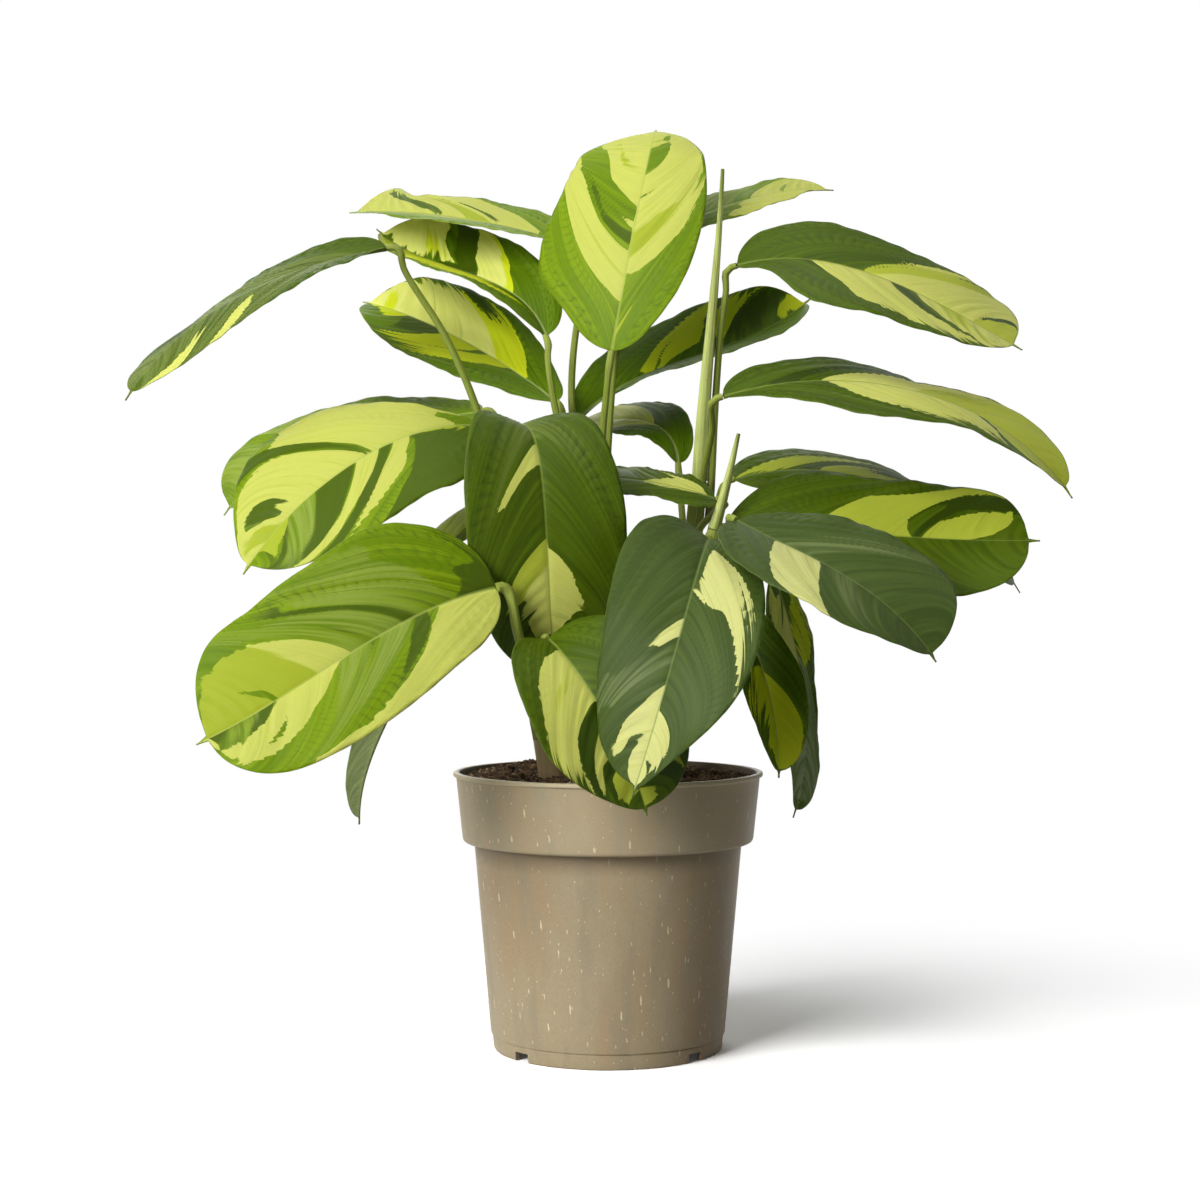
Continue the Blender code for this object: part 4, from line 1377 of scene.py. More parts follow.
LEAVES = (
    Leaf("top_centre", ((2, -10, 381), (12, -2, 437), (22, 22, 489), (28, 60, 517)),
         Half(58, (0, 0), 15, 0.42, trim=(0.73, 1.05, 1, 0.95, 0.93, 1.08, 1.7)),
         Half(39, (5, -10), 15, 0.46, trim=(0.87, 0.95, 0.96, 0.97, 0.93, 0.94, 0.85)),
         Stalk("cane_centre", 175, -60, ((-3, -2, 332), (-1, -6, 356))), seed=11, marks=(
             left(CREAM, (0, 17, 35), (40, 11, 34.5), (60, 10, 40), (80, 12, 48), (100, 14, 73)),
             left(GREEN, (0, 35.5, 51), (40, 34.5, 56), (65, 41, 80), (85, 50, 86), (100, 74, 87)),
             left(DEEP, (0, 37, 42), (35, 36, 40), (60, 43, 50), (70, 50, 52)),
             left(CREAM, (0, 43, 45.7), (10, 43.7, 45.5), (20, 44.5, 45)),
             left(CREAM, (0, 51, 100), (40, 58, 100), (60, 80, 100), (100, 88, 100)),
             left(LIME, (20, 67, 70), (30, 68, 74), (38, 73, 82), (42, 80, 87)),
             right(LIME, (0, 4, 7), (35, 1, 4)),
             right(CREAM, (0, 27, 100), (25, 20, 100), (55, 11, 100), (80, 0, 100), (100, 10, 100)),
             right(LIME, (0, 32, 42), (30, 30, 40), (58, 27, 33)),
             right(GREEN, (0, 55.1, 56.3), (20, 55.2, 55.6)),
             right(GREEN, (0, 65, 80), (20, 67, 85), (35, 72, 88), (50, 85, 89)),
             right(LIME, (5, 80, 86), (22, 82, 87)),
             right(GREEN, (90, -10, 30), (95, -30, 60), (100, -50, 68)),
         )),
    Leaf("upper_left", ((-12, 44, 445), (-51, 63, 460), (-104, 85, 473), (-155, 106, 478)),
         Half(34, (-3, -10)),
         Half(33, (26, 38), widest=0.68, fullness=4, trim=(1.2, 1.25, 1.18, 1.08, 0.98, 0.72, 2.1)),
         Stalk("cane_centre", 168, 142, ((-20, 18, 352), (-17, 26, 402))), seed=12, marks=(
             right(CREAM, (0, 22, 100), (15, 17, 100), (50, 12, 100), (70, 8, 100), (100, 0, 100)),
             right(LIME, (0, 41, 50), (70, 47, 54)),
             right(DEEP, (5, 35.5, 38.5), (30, 35.5, 39.5), (55, 38.5, 43), (75, 44, 49)),
             right(DEEP, (5, 60, 64), (30, 61, 69), (55, 63, 72), (62, 64, 85), (85, 66, 86)),
             left(LIME, (0, 30, 100), (60, 30, 100)),
         )),
    Leaf("upper_left_broad", ((-35, 20, 393), (-57, 45, 422), (-98, 75, 442), (-138, 100, 467)),
         Half(38, (5, 5), widest=0.58, trim=(1, 1, 1, 1, 0.95, 0.75, 0.5)),
         Half(35, (50, 50), widest=0.6, trim=(0.85, 0.9, 0.93, 1, 1, 1.02, 1.4)),
         Stalk("cane_centre", 150, 240, ((-29, -2, 350), (-33, 1, 376))), finish=BACKLIT, seed=13, marks=(
             right(LIME, (0, 27, 33), (35, 22, 28), (70, 8, 16), (100, -12, -4)),
             right(CREAM, (0, 32, 46), (35, 27, 44), (52, 22, 38.5), (68, 14, 33), (84, 5, 21),
                 (100, -4, 6)),
             right(DEEP, (0, 46, 68), (5, 47, 66), (10, 46.5, 56), (35, 44, 61), (52, 39, 61), (68, 33, 58),
                 (84, 22, 53), (100, 8, 45)),
             right(GREEN, (30, 57, 60), (60, 52, 59.5), (100, 36, 45)),
             right(CREAM, (5, 68, 100), (10, 58, 100), (35, 61, 100), (52, 61, 100), (70, 57, 100),
                 (86, 50, 100), (100, 45, 100)),
             right(LIME, (20, 62, 72), (28, 63, 74)),
             left(LIME, (25, 5, 100), (85, -20, 100)),
         )),
    Leaf("mid_left_upper", ((-29, 10, 355), (-48, 30, 371), (-88, 55, 397), (-145, 90, 422)),
         Half(39, (-15, -15), trim=(0.8, 0.93, 1, 1.05, 1.05, 0.9, 0.85)),
         Half(39, (36, 45), widest=0.66, fullness=3, trim=(0.65, 0.8, 0.98, 1, 1, 1.05, 1.12)),
         Stalk("cane_centre", 130, 185), finish=BACKLIT, seed=14, marks=(
             left(LIME, (0, 27, 57), (30, 22, 55), (60, 12, 50), (85, 0, 50)),
             left(GREEN, (0, 38, 42), (35, 35, 37)),
             left(DEEP, (0, 58, 72), (25, 55, 73), (45, 54.5, 66), (58, 57, 62)),
             left(DEEP, (0, 73, 76.5), (40, 72, 76)),
             left(LIME, (0, 77, 97), (32, 77, 90)),
             right(LIME, (0, 19, 100), (25, 13, 100), (42, 6, 100), (61, -2, 100), (90, -10, 100)),
             right(CREAM, (0, 36, 100), (50, 34, 100), (85, 36, 100)),
             right(DEEP, (60, 18, 20), (68, 12, 28), (85, 10, 30), (100, 0, 30)),
             right(LIME, (0, 84, 88), (40, 86, 90)),
         )),
    Leaf("far_left", ((-120, -20, 435), (-162, -30, 423), (-207, -45, 399), (-252, -60, 349)),
         Half(33, (-3, -32), trim=(1, 1, 1, 1, 1, 0.85, 0.7)), Half(33, (46, 20, 6, 24)),
         Stalk("cane_left", 180, 175, ((-73, -15, 353), (-89, -15, 389), (-111, -16, 425))),
         finish=SHADED, seed=15, marks=(
             left(SILVER, (0, 4, 90), (60, -10, 90), (100, -30, 90)),
             right(SILVER, (0, 10, 95), (50, 4, 95), (100, 0, 95)),
             left(CREAM, (33, 38, 39.5), (50, 31, 39.5), (68, 22, 36), (87, 13, 31), (100, 8, 28)),
             left(CREAM, (50, 57, 64), (65, 56, 72), (85, 55, 84), (100, 56, 88)),
             right(DEEP, (0, 64, 74), (80, 62, 72)),
         )),
    Leaf("left_middle", ((-66, -28, 338), (-109, -60, 329), (-148, -76, 303), (-185, -92, 258)),
         Half(44, (-35, -35), fullness=3, trim=(1, 1.17, 1, 1, 0.97, 0.93, 1)),
         Half(42, (40, 44), 20, 0.58, 3, trim=(0.45, 1.05, 1.35, 1.38, 1.35, 0.85, 0.5)),
         Stalk("cane_left", 165, -120), seed=16, marks=(
             left(DEEP, (0, -10, 30), (50, -50, 15), (100, -150, -10)),
             left(LIME, (0, 12, 30), (12, 4, 10)),
             left(CREAM, (0, 30.5, 36), (25, 27, 35), (50, 19, 33), (62, 18, 33), (75, 20, 34),
                 (90, 31, 36)),
             left(DEEP, (0, 36, 41), (30, 34.5, 40), (60, 33, 42), (80, 36, 49), (100, 42, 60)),
             left(CREAM, (0, 41, 49.5), (30, 40, 50), (55, 43, 52), (75, 49, 62), (88, 58, 72),
                 (100, 66, 80)),
             left(DEEP, (0, 49.5, 79), (50, 52, 86), (75, 62, 90), (90, 74, 92), (100, 80, 93)),
             left(SILVER, (0, 66, 78), (50, 68, 82), (75, 74, 86)),
             left(LIME, (0, 77, 92), (15, 80, 90), (35, 86, 88.5)),
             right(CREAM, (0, 13, 100), (20, 5, 100), (40, -5, 100), (50, -12, 100), (60, -25, 100),
                 (75, -50, 100), (85, -85, 100), (100, -140, 100)),
             right(GREEN, (78, 42, 50), (85, 25, 56), (92, 8, 90), (100, -10, 95)),
             right(DEEP, (2, 43, 45.5), (30, 41, 45), (45, 39, 45), (60, 36, 44), (80, 30, 43),
                 (100, 20, 45)),
             right(DEEP, (4, 72, 74.5), (15, 71, 79), (35, 70.5, 81), (60, 73, 82), (70, 77, 79)),
             right(LIME, (0, 80, 88), (25, 83, 90), (45, 87, 92)),
         )),
    Leaf("left_back", ((-70, 12, 350), (-118, 28, 345), (-172, 45, 332), (-222, 58, 294)),
         Half(36, (-30, -30)),
         Half(38, (30, 58), widest=0.68, fullness=5, trim=(1, 1, 1, 0.92, 0.93, 1.15, 1.3)),
         Stalk("cane_left", 170, 110), finish=SUNLIT, seed=17, marks=(
             right(SILVER, (0, 10, 56), (50, -5, 55), (100, -20, 50)),
             right(DEEP, (0, 58, 62), (60, 55, 60)),
             right(SILVER, (0, 64, 95), (80, 64, 95)),
             left(SILVER, (0, 14, 80), (100, -30, 70)),
         )),
    Leaf("centre_dark", ((-48, -35, 338), (-38, -66, 327), (-31, -77, 262), (-26, -55, 202)),
         Half(44, (22, -5), 15, 0.4, trim=(0.95, 0.87, 0.93, 0.97, 1, 1, 1)),
         Half(42, (25, 0), 15, 0.4),
         Stalk("cane_left", 155, -60), heading=-80, finish=SHADED, seed=18, marks=(
             right(SILVER, (0, 0, 19), (35, -12, 14)),
             left(SILVER, (0, 0, 20), (40, -20, 8)),
             right(CREAM, (0, 22, 30), (16, 21.5, 28), (35, 20, 25), (50, 17.5, 22.5), (63, 15, 16)),
             right(LIME, (0, 53, 64), (40, 53.5, 65), (62, 56, 62)),
             right(CREAM, (0, 62, 83), (30, 64, 81), (40, 67, 72)),
             left(CREAM, (0, 55.5, 85), (16, 56, 80), (30, 58, 75), (42, 63, 70), (53, 67, 68)),
         )),
    Leaf("front_left", ((-57, -91, 251), (-103, -119, 233), (-152, -141, 202), (-197, -152, 176)),
         Half(41, (-50, -50), widest=0.58, fullness=3, trim=(1.1, 1, 1, 1.02, 1, 1, 1)),
         Half(53, (76, 60), widest=0.3, fullness=4, trim=(0.93, 1, 0.95, 0.93, 0.93, 1.08, 1.15)),
         Stalk("cane_left", 62, -110, ((-35, -58, 190), (-39, -76, 205), (-46, -89, 228)), 2.4),
         seed=19, marks=(
             left(CREAM, (0, 3, 20), (25, -12, 16), (50, -42, 7), (70, -90, 2), (85, -150, 12),
                 (100, -220, 55)),
             left(DEEP, (0, 24, 28), (25, 17, 25), (50, 9, 17), (72, 4, 9)),
             left(SILVER, (0, 30, 54), (30, 27, 51), (55, 28, 48), (75, 34, 44)),
             left(DEEP, (0, 40, 43.5), (25, 40, 42.5)),
             left(CREAM, (0, 54, 100), (25, 58, 100), (50, 63, 100), (70, 71, 93), (79, 80, 88)),
             left(DEEP, (0, 75, 97), (22, 79, 95), (40, 89, 93)),
             left(SILVER, (3, 81, 90), (28, 85, 91)),
             left(GREEN, (30, 70.5, 72), (45, 71.5, 75), (57, 76, 80), (64, 82, 84)),
             right(DEEP, (0, 5, 14), (40, -30, -10), (90, -160, -90)),
             right(SILVER, (15, 13, 27), (45, 0, 26), (70, -15, 26), (90, -50, 10)),
             right(DEEP, (0, 27.5, 32), (40, 27.5, 30.5), (75, 28, 34), (95, 5, 30)),
             right(SILVER, (0, 33, 50), (40, 31, 48), (65, 33, 50), (80, 42, 60)),
             right(DEEP, (5, 42, 44), (40, 41.5, 43)),
             right(LIME, (0, 50, 100), (40, 49, 100), (60, 52, 96), (73, 62, 94), (81, 78, 90)),
             right(CREAM, (0, 50, 60), (40, 49, 59), (60, 53, 58)),
             right(GREEN, (4, 74.5, 75.7), (15, 75, 77.5), (27, 79, 80)),
         )),
    Leaf("front_centre", ((-31, -86, 225), (-18, -106, 212), (1, -117, 183), (19, -113, 138)),
         Half(36, (48, 5), widest=0.5, fullness=3.5, trim=(1.2, 1.1, 1, 1, 1, 0.93, 0.9)),
         Half(36, (10, 0), widest=0.5, trim=(1.16, 1.13, 1.06, 1.05, 0.93, 0.77, 0.6)),
         Stalk("cane_left", 48, -50, ((-24, -50, 192), (-29, -74, 212))),
         heading=-70, finish=SHADED, seed=20, marks=(
             right(CREAM, (0, 12, 44), (19, 8, 42), (39, -2, 38.5), (52, -8, 38), (65, -15, 42),
                 (72, -18, 46), (80, -18, 53), (88, -12, 55)),
             right(LIME, (20, 22, 27), (45, 14, 20), (60, 10, 16)),
             right(DEEP, (0, 44, 55), (20, 42.5, 52), (40, 38.5, 53), (52, 38.5, 55), (65, 42.5, 59),
                 (80, 53, 66), (94, 57, 72)),
             right(CREAM, (10, 52, 64), (30, 53.5, 64), (45, 55, 62), (60, 58, 66), (78, 65, 72)),
             right(DEEP, (5, 64, 70), (45, 64, 72), (60, 68, 77), (77, 75, 78)),
             right(LIME, (5, 72, 88), (45, 72, 87), (62, 79, 87)),
             left(DEEP, (0, 50, 80), (100, 40, 80)),
             left(LIME, (30, 64, 70), (85, 62, 68)),
             left(LIME, (0, 87, 96), (45, 86, 94)),
         )),
    Leaf("front_dark", ((52, -60, 277), (44, -105, 258), (28, -132, 205), (11, -135, 149)),
         Half(42, (-10, 5), 15, 0.45, 2, trim=(0.46, 0.8, 0.94, 1, 0.98, 0.64, 0.4)),
         Half(41, (44, 0), 15, 0.42, trim=(1.18, 1.05, 0.98, 0.95, 0.99, 1, 1.1)),
         Stalk("cane_front", 118, -85), finish=COOL, seed=21, marks=(
             right(SILVER, (25, 53, 60), (70, 46, 60), (90, 30, 50)),
             left(CREAM, (5, 34, 36.5), (13, 18, 36), (23, 8, 35), (35, 2, 31), (52, -5, 23), (65, -12, 21),
                 (77, -20, 21), (86, -26, 20)),
             left(GREEN, (72, -6, -3), (88, -12, 3)),
             left(CREAM, (0, 74, 98), (45, 75, 94), (67, 77, 84)),
             left(DEEP, (15, 87.5, 88.5), (30, 87, 89), (50, 86, 89.5)),
             right(CREAM, (0, 45.5, 52), (20, 45.7, 52), (33, 46, 49), (42, 45.5, 46)),
             right(CREAM, (0, 66.5, 98), (20, 69, 97), (42, 71.5, 95), (50, 73, 84), (65, 79, 84)),
             right(GREEN, (5, 80.5, 81.2), (20, 80, 83.5), (35, 80, 88), (46, 83, 100), (80, 88, 100)),
         )),
    Leaf("front_right", ((66, -72, 286), (96, -105, 269), (132, -130, 245), (158, -140, 215)),
         Half(38, (30, 30), widest=0.6, fullness=3, trim=(1.25, 1.3, 1.3, 1.25, 1.28, 1.28, 0.95)),
         Half(38, (-12, -12), trim=(1, 1.1, 1.08, 1.05, 1.05, 0.78, 0.5)),
         Stalk("cane_front", 150, -40, ((63, -50, 283),)), finish=COOL, seed=22, marks=(
             right(CREAM, (0, 23, 43.5), (13, 20, 44), (35, 14, 41), (58, 4, 34), (74, -8, 28),
                 (87, -18, 22), (100, -22, 14)),
             left(SILVER, (20, 20, 36), (90, 10, 34)),
             right(SILVER, (10, 50, 60), (60, 50, 62)),
         )),
    Leaf("right_middle", ((62, -36, 284), (112, -54, 281), (172, -58, 277), (225, -60, 276)),
         Half(42, (52, 52), fullness=3, trim=(1.4, 1.2, 1.05, 1, 1, 1.15, 1.5)),
         Half(42, (-43, -43), widest=0.55, fullness=3),
         Stalk("cane_right", 120, -85, ((49, -20, 268),)), finish=SHADED, seed=23, marks=(
             left(LIME, (0, 30, 60), (26, 25, 53.5), (45, 21, 52.5), (58, 18, 53), (66, 16.5, 54),
                 (72, 30, 56), (80, 34, 62), (95, 43, 78), (100, 45, 80)),
             left(DEEP, (28, 52, 53), (55, 52.5, 54.5), (65, 53, 60), (75, 54, 70)),
             left(DEEP, (0, 60.5, 62.2), (28, 60, 64), (50, 60, 67), (56, 60, 78), (62, 58, 88),
                 (75, 55, 89), (84, 62, 89), (96, 75, 90)),
             left(LIME, (0, 63, 78), (10, 63.5, 85), (30, 64.5, 89), (45, 70, 90), (55, 79, 90),
                 (60, 86, 90)),
         )),
    Leaf("right_behind", ((69, -10, 311), (122, 0, 316), (184, 10, 295), (231, 20, 249)),
         Half(38, (28, 28), widest=0.42, trim=(1.05, 1, 0.93, 1, 1, 1, 1)), Half(38, (-30, -30)),
         Stalk("cane_right", 140, -30), finish=SHADED, seed=24, marks=(
             left(LIME, (12, -5, 16), (68, -20, 10)),
             left(LIME, (0, 26, 45), (50, 20, 40)),
         )),
    Leaf("right_upper", ((61, -40, 353), (114, -45, 361), (186, -52, 346), (242, -60, 298)),
         Half(36, (50, 18, 48), fullness=3, trim=(0.95, 1, 1, 0.95, 0.92, 0.98, 0.75)),
         Half(36, (-32, -12), trim=(0.4, 0.95, 1.2, 1.05, 0.85, 0.85, 1)),
         Stalk("cane_right", 165, -75, ((52, -12, 314), (56, -26, 338))), finish=SHADED, seed=25, marks=(
             right(CREAM, (0, 28, 67), (30, 21, 68), (45, 15, 66), (61, 12, 64), (74, 14, 60)),
             right(LIME, (0, 70, 100), (60, 68, 100), (100, 70, 100)),
             right(DEEP, (5, 65.5, 68.5), (25, 67, 70.5), (42, 66, 67)),
             left(LIME, (0, 42, 100), (30, 40, 100), (60, 36, 100), (100, 32, 100)),
             left(CREAM, (0, 26, 50), (50, 20, 42), (95, 10, 36)),
             left(DEEP, (0, 12, 20), (50, 0, 10), (100, -20, -10)),
         )),
    Leaf("right_top", ((71, 0, 429), (106, -10, 431), (158, -20, 415), (222, -30, 379)),
         Half(42, (56, 30), widest=0.42, fullness=4, trim=(1, 0.9, 0.82, 0.9, 1.05, 1.36, 1.7)),
         Half(38, (-30, -22), trim=(0.5, 1.35, 1.35, 1.12, 1.12, 1.12, 1.1)),
         Stalk("cane_right", 180, 10, ((59, 3, 352), (62, 3, 392), (65, 2, 416))),
         finish=SHADED, seed=26, marks=(
             left(LIME, (0, 43, 100), (35, 37, 100), (60, 34, 100), (85, 24, 100), (100, 30, 100)),
             left(CREAM, (0, 47, 80), (30, 49, 82), (60, 53, 85), (90, 62, 87)),
             left(CREAM, (55, 29, 33), (90, 25, 35)),
             left(GREEN, (10, 41, 43), (50, 40, 41)),
             left(GREEN, (80, 41, 46), (100, 36, 50)),
             left(DEEP, (7, 80, 84.5), (35, 83, 86.5), (60, 86, 89), (90, 88, 91)),
             right(CREAM, (0, 25, 100), (25, 22, 100), (45, 19, 100), (58, 16, 100), (68, 10, 100),
                 (77, 9, 100), (82, 20, 100), (90, 40, 100)),
             right(LIME, (0, 68, 78), (40, 74, 84), (60, 82, 88)),
             right(GREEN, (0, 51.5, 61), (20, 51.5, 62), (40, 54, 66), (55, 62, 72), (70, 74, 79)),
             right(DEEP, (0, 53, 57), (40, 56.5, 61), (60, 67, 71)),
         )),
    Leaf("back_right_top", ((18, 20, 443), (60, 46, 468), (98, 68, 482), (134, 88, 488)),
         Half(27, (24, 23, 24, 36), trim=(1.1, 1.15, 1.1, 1.0, 1.0, 1.1, 1.5)),
         Half(21, (-15, -14), trim=(1, 1, 1.05, 1, 0.9, 0.5, 0.3)),
         Stalk("cane_centre", 185, 60, ((4, 14, 380),)), seed=27, marks=(
             left(SILVER, (0, 0, 50), (100, -60, 40)),
             right(SILVER, (0, 0, 50), (100, -160, -70)),
             left(CREAM, (0, 58, 100), (85, 62, 100)),
             right(CREAM, (0, 57, 100), (50, 30, 100), (100, -50, 100)),
             left(SILVER, (10, 72, 76), (50, 73, 77)),
         )),
    Leaf("back_right_mid", ((-16, 30, 348), (17, 45, 372), (62, 62, 390), (120, 80, 423)),
         Half(38, (38, 58), widest=0.6, trim=(0.95, 1, 1, 1, 1, 1, 1.3)),
         Half(38, (5, -4), trim=(0.8, 1, 1, 1, 1, 1, 1)),
         Stalk("cane_centre", 135, 100), finish=BACKLIT, seed=28, marks=(
             left(LIME, (0, 30, 36), (12, 26, 40), (25, 25, 49), (50, 20, 46), (75, 14, 38), (93, 10, 30)),
             left(GREEN, (10, 33, 34.5), (50, 27, 28.5)),
             left(LIME, (20, 57, 62), (50, 50, 62.5), (75, 44, 68), (94, 40, 78)),
             left(DEEP, (18, 61, 86), (40, 62.5, 87), (60, 64, 91), (75, 70, 90.5), (88, 83, 90)),
             left(LIME, (5, 83, 100), (25, 86, 100), (50, 91, 100), (100, 91, 100)),
         )),
    Leaf("back_centre", ((40, 40, 323), (32, 52, 343), (10, 70, 351), (-26, 92, 345)),
         Half(30, (-25, -20), trim=(0.45, 0.56, 0.69, 0.76, 0.8, 0.8, 0.8)),
         Half(27, (32, 32), trim=(0.62, 0.8, 0.97, 0.95, 1, 1, 1)),
         Stalk("cane_right", 130, 100), finish=BACKLIT, seed=29, marks=(
             right(CREAM, (0, 34, 100), (100, 30, 100)),
             left(CREAM, (0, 30, 100), (100, 30, 100)),
         )),
    Leaf("centre_small", ((57, -37, 299), (32, -40, 306), (8, -32, 310), (-20, -18, 313)),
         Half(25, (-25, -25), trim=(1, 0.75, 0.68, 0.7, 0.8, 0.8, 0.8)),
         Half(25, (30, 20), trim=(1, 0.8, 0.83, 0.88, 1.1, 1, 1)),
         Stalk("cane_right", 142, -110, ((50, -16, 284), (60, -29, 294))), finish=SHADED, seed=30, marks=(
             right(CREAM, (0, 6, 50), (20, 0, 36), (40, -12, 20), (56, -25, 0)),
             left(CREAM, (0, 10, 48), (10, 12, 45), (22, 18, 30)),
         )),
    Leaf("right_low", ((64, -25, 245), (78, -45, 218), (86, -55, 188), (89, -58, 152)),
         Half(21, (30, 30), trim=(0.8, 0.72, 0.82, 1, 1, 1, 1)),
         Half(16, (30, 30), trim=(1, 1, 1, 1, 0.85, 0.7, 0.6)),
         Stalk("cane_right", 85, -25), heading=-90, finish=BACKLIT, seed=31, marks=(
             left(LIME, (0, 46, 96), (30, 48, 95), (70, 50, 93), (85, 51, 90), (94, 62, 84)),
             right(LIME, (0, 44, 96), (20, 38, 95), (40, 30, 90), (52, 28, 78)),
             right(LIME, (60, 25, 42), (95, 10, 36)),
         )),
    Leaf("right_low_back", ((94, 28, 259), (106, 24, 216), (111, 18, 171), (103, 10, 124)),
         Half(14, (5, 5), trim=(1.6, 1.5, 0.9, 0.6, 0.8, 1.4, 1.4)),
         Half(26, (5, 5), trim=(1, 1, 1, 1, 0.9, 0.55, 0.5)),
         Stalk("cane_right", 85, 40), heading=-45, finish=BACKLIT, seed=32, marks=(
             left(SILVER, (0, 30, 95), (85, 20, 85)),
             right(SILVER, (0, 35, 95), (80, 25, 85)),
             left(DEEP, (90, -20, 100), (100, -30, 98)),
             right(CREAM, (0, 10, 38), (20, 0, 30), (40, -12, 15), (60, -40, -5), (85, -100, -70)),
             right(GREEN, (6, 6, 10), (36, 3, 8)),
             left(LIME, (6, 15, 33), (30, 0, 30), (50, -20, 15), (70, -60, -5), (95, -130, -70)),
         )),
    Leaf("left_low_back", ((-110, 55, 215), (-130, 66, 172), (-142, 74, 142), (-146, 78, 113)),
         Half(14, (80, 80)), Half(20, (60, 60)),
         Stalk("cane_left", 128, 128, ((-76, 4, 262), (-98, 36, 246))), finish=COOL, seed=33, marks=(
             left(SILVER, (0, 30, 85), (35, 30, 80)),
             right(SILVER, (0, 30, 85), (35, 30, 80)),
         )),
    Leaf("left_inner_back", ((-60, 45, 306), (-84, 58, 298), (-102, 68, 285), (-120, 78, 262)),
         Half(28, (-40, -40)), Half(28, (-10, -10)),
         Stalk("cane_left", 130, 90), seed=34, marks=(
             left(LIME, (0, 0, 100), (100, -90, 100)),
             right(LIME, (0, 20, 70), (75, 0, 60)),
         )),
    Leaf("back_low_left", ((-16, 48, 258), (-26, 85, 262), (-38, 120, 246), (-48, 146, 212)),
         Half(34, (10, 0)), Half(34, (10, 0)),
         Stalk("cane_centre", 90, 110), finish=SHADED, seed=35, marks=(
             left(CREAM, (0, 20, 42), (40, 14, 40), (90, 2, 30)),
             right(LIME, (0, 50, 80), (50, 48, 78), (90, 44, 64)),
             right(CREAM, (0, 12, 22), (70, -2, 10)),
             right(DEEP, (0, 30, 42), (80, 20, 34)),
         )),
    Leaf("back_low_right", ((38, 44, 250), (50, 78, 252), (62, 112, 234), (70, 134, 200)),
         Half(32, (10, 0)), Half(32, (10, 0)),
         Stalk("cane_right", 100, 90), seed=36, marks=(
             right(CREAM, (0, 30, 52), (40, 24, 50), (85, 14, 36)),
             left(LIME, (0, 40, 72), (90, 30, 60)),
             left(DEEP, (0, 52, 58), (100, 42, 50)),
         )),
)


@dataclass(frozen=True)
class Foliage:
    """All the canes, rolled leaves, stalks and blades."""

    canes: tuple = CANES
    leaves: tuple = LEAVES

    def build(self) -> None:
        """Builds every shoot, stalk and blade, and logs how far each blade's box is from its node's."""
        finishes = {f.name: f.make() for f in (SUNLIT, SHADED, COOL, BACKLIT, STALK, CANE, ROLLED)}
        stems = StemTree()
        by_name = {cane.name: cane for cane in self.canes}
        for cane in self.canes:
            cane.build(stems, finishes)
        for leaf in self.leaves:
            blade = leaf.build(finishes)
            base, along, _, _ = leaf.rib_frame(np.array([0.0]))
            points = leaf.stalk.points(by_name, base[0], along[0])
            leaf.stalk.build(leaf.name + "_stalk", stems, finishes, points)
            self.compare(blade, leaf.name + "_leaf")

    @staticmethod
    def compare(piece: bpy.types.Object, node: str) -> None:
        """Logs how far a piece's box is from its CAD node's, in mm.

        Args:
            piece: The piece.
            node: The CAD node.
        """
        low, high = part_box(node)
        places = np.array([v.co for v in piece.data.vertices])
        off = max(np.abs(places.min(0) - np.array(low)).max(), np.abs(places.max(0) - np.array(high)).max())
        log.info("%s: box within %.1f mm of its node's", piece.name, off / MM)


# ---------------------------------------------------------------- pot and potting mix


MERGE = 0.002  # points of a turned body that are closer than this are made one


def rounded(points: list, radii: list, steps: int = 5) -> list:
    """An outline with its corners rounded.

    Args:
        points: The (radius, height) corners.
        radii: The rounding at each corner, 0 for none.
        steps: Places on each rounding.

    Returns:
        The places along the rounded outline.
    """
    made = []
    for i, (point, radius) in enumerate(zip(points, radii)):
        if radius <= 0 or i in (0, len(points) - 1):
            made.append(point)
            continue
        here = np.array(point, float)
        back = unit(np.array(points[i - 1], float) - here)
        on = unit(np.array(points[i + 1], float) - here)
        half = math.acos(float(np.clip(back @ on, -1, 1))) / 2
        # A rounding stops short of the middle of the sides that it joins.
        reach = min(radius / math.tan(half), 0.49 * min(np.linalg.norm(np.subtract(points[i - 1], point)),
                                                       np.linalg.norm(np.subtract(points[i + 1], point))))
        start, end = here + back * reach, here + on * reach
        for u in np.linspace(0, 1, steps):
            made.append(tuple((1 - u) ** 2 * start + 2 * u * (1 - u) * here + u**2 * end))
    return made


def turned(name: str, profile: list, steps: int) -> bpy.types.Mesh:
    """Makes a solid of revolution about Z.

    Args:
        name: The mesh's name.
        profile: The (radius, height) points, which start and end on the axis.
        steps: How many steps the turn has.

    Returns:
        The mesh, with its faces turned out.
    """
    bm = bmesh.new()
    points = [bm.verts.new((radius * MM, 0, height * MM)) for radius, height in profile]
    edges = [bm.edges.new(pair) for pair in zip(points, points[1:])]
    bmesh.ops.spin(bm, geom=points + edges, cent=(0, 0, 0), axis=(0, 0, 1), angle=math.tau, steps=steps,
                   use_merge=True)
    bmesh.ops.remove_doubles(bm, verts=bm.verts, dist=MERGE * MM)
    bmesh.ops.recalc_face_normals(bm, faces=bm.faces)
    return mesh_of(bm, name)


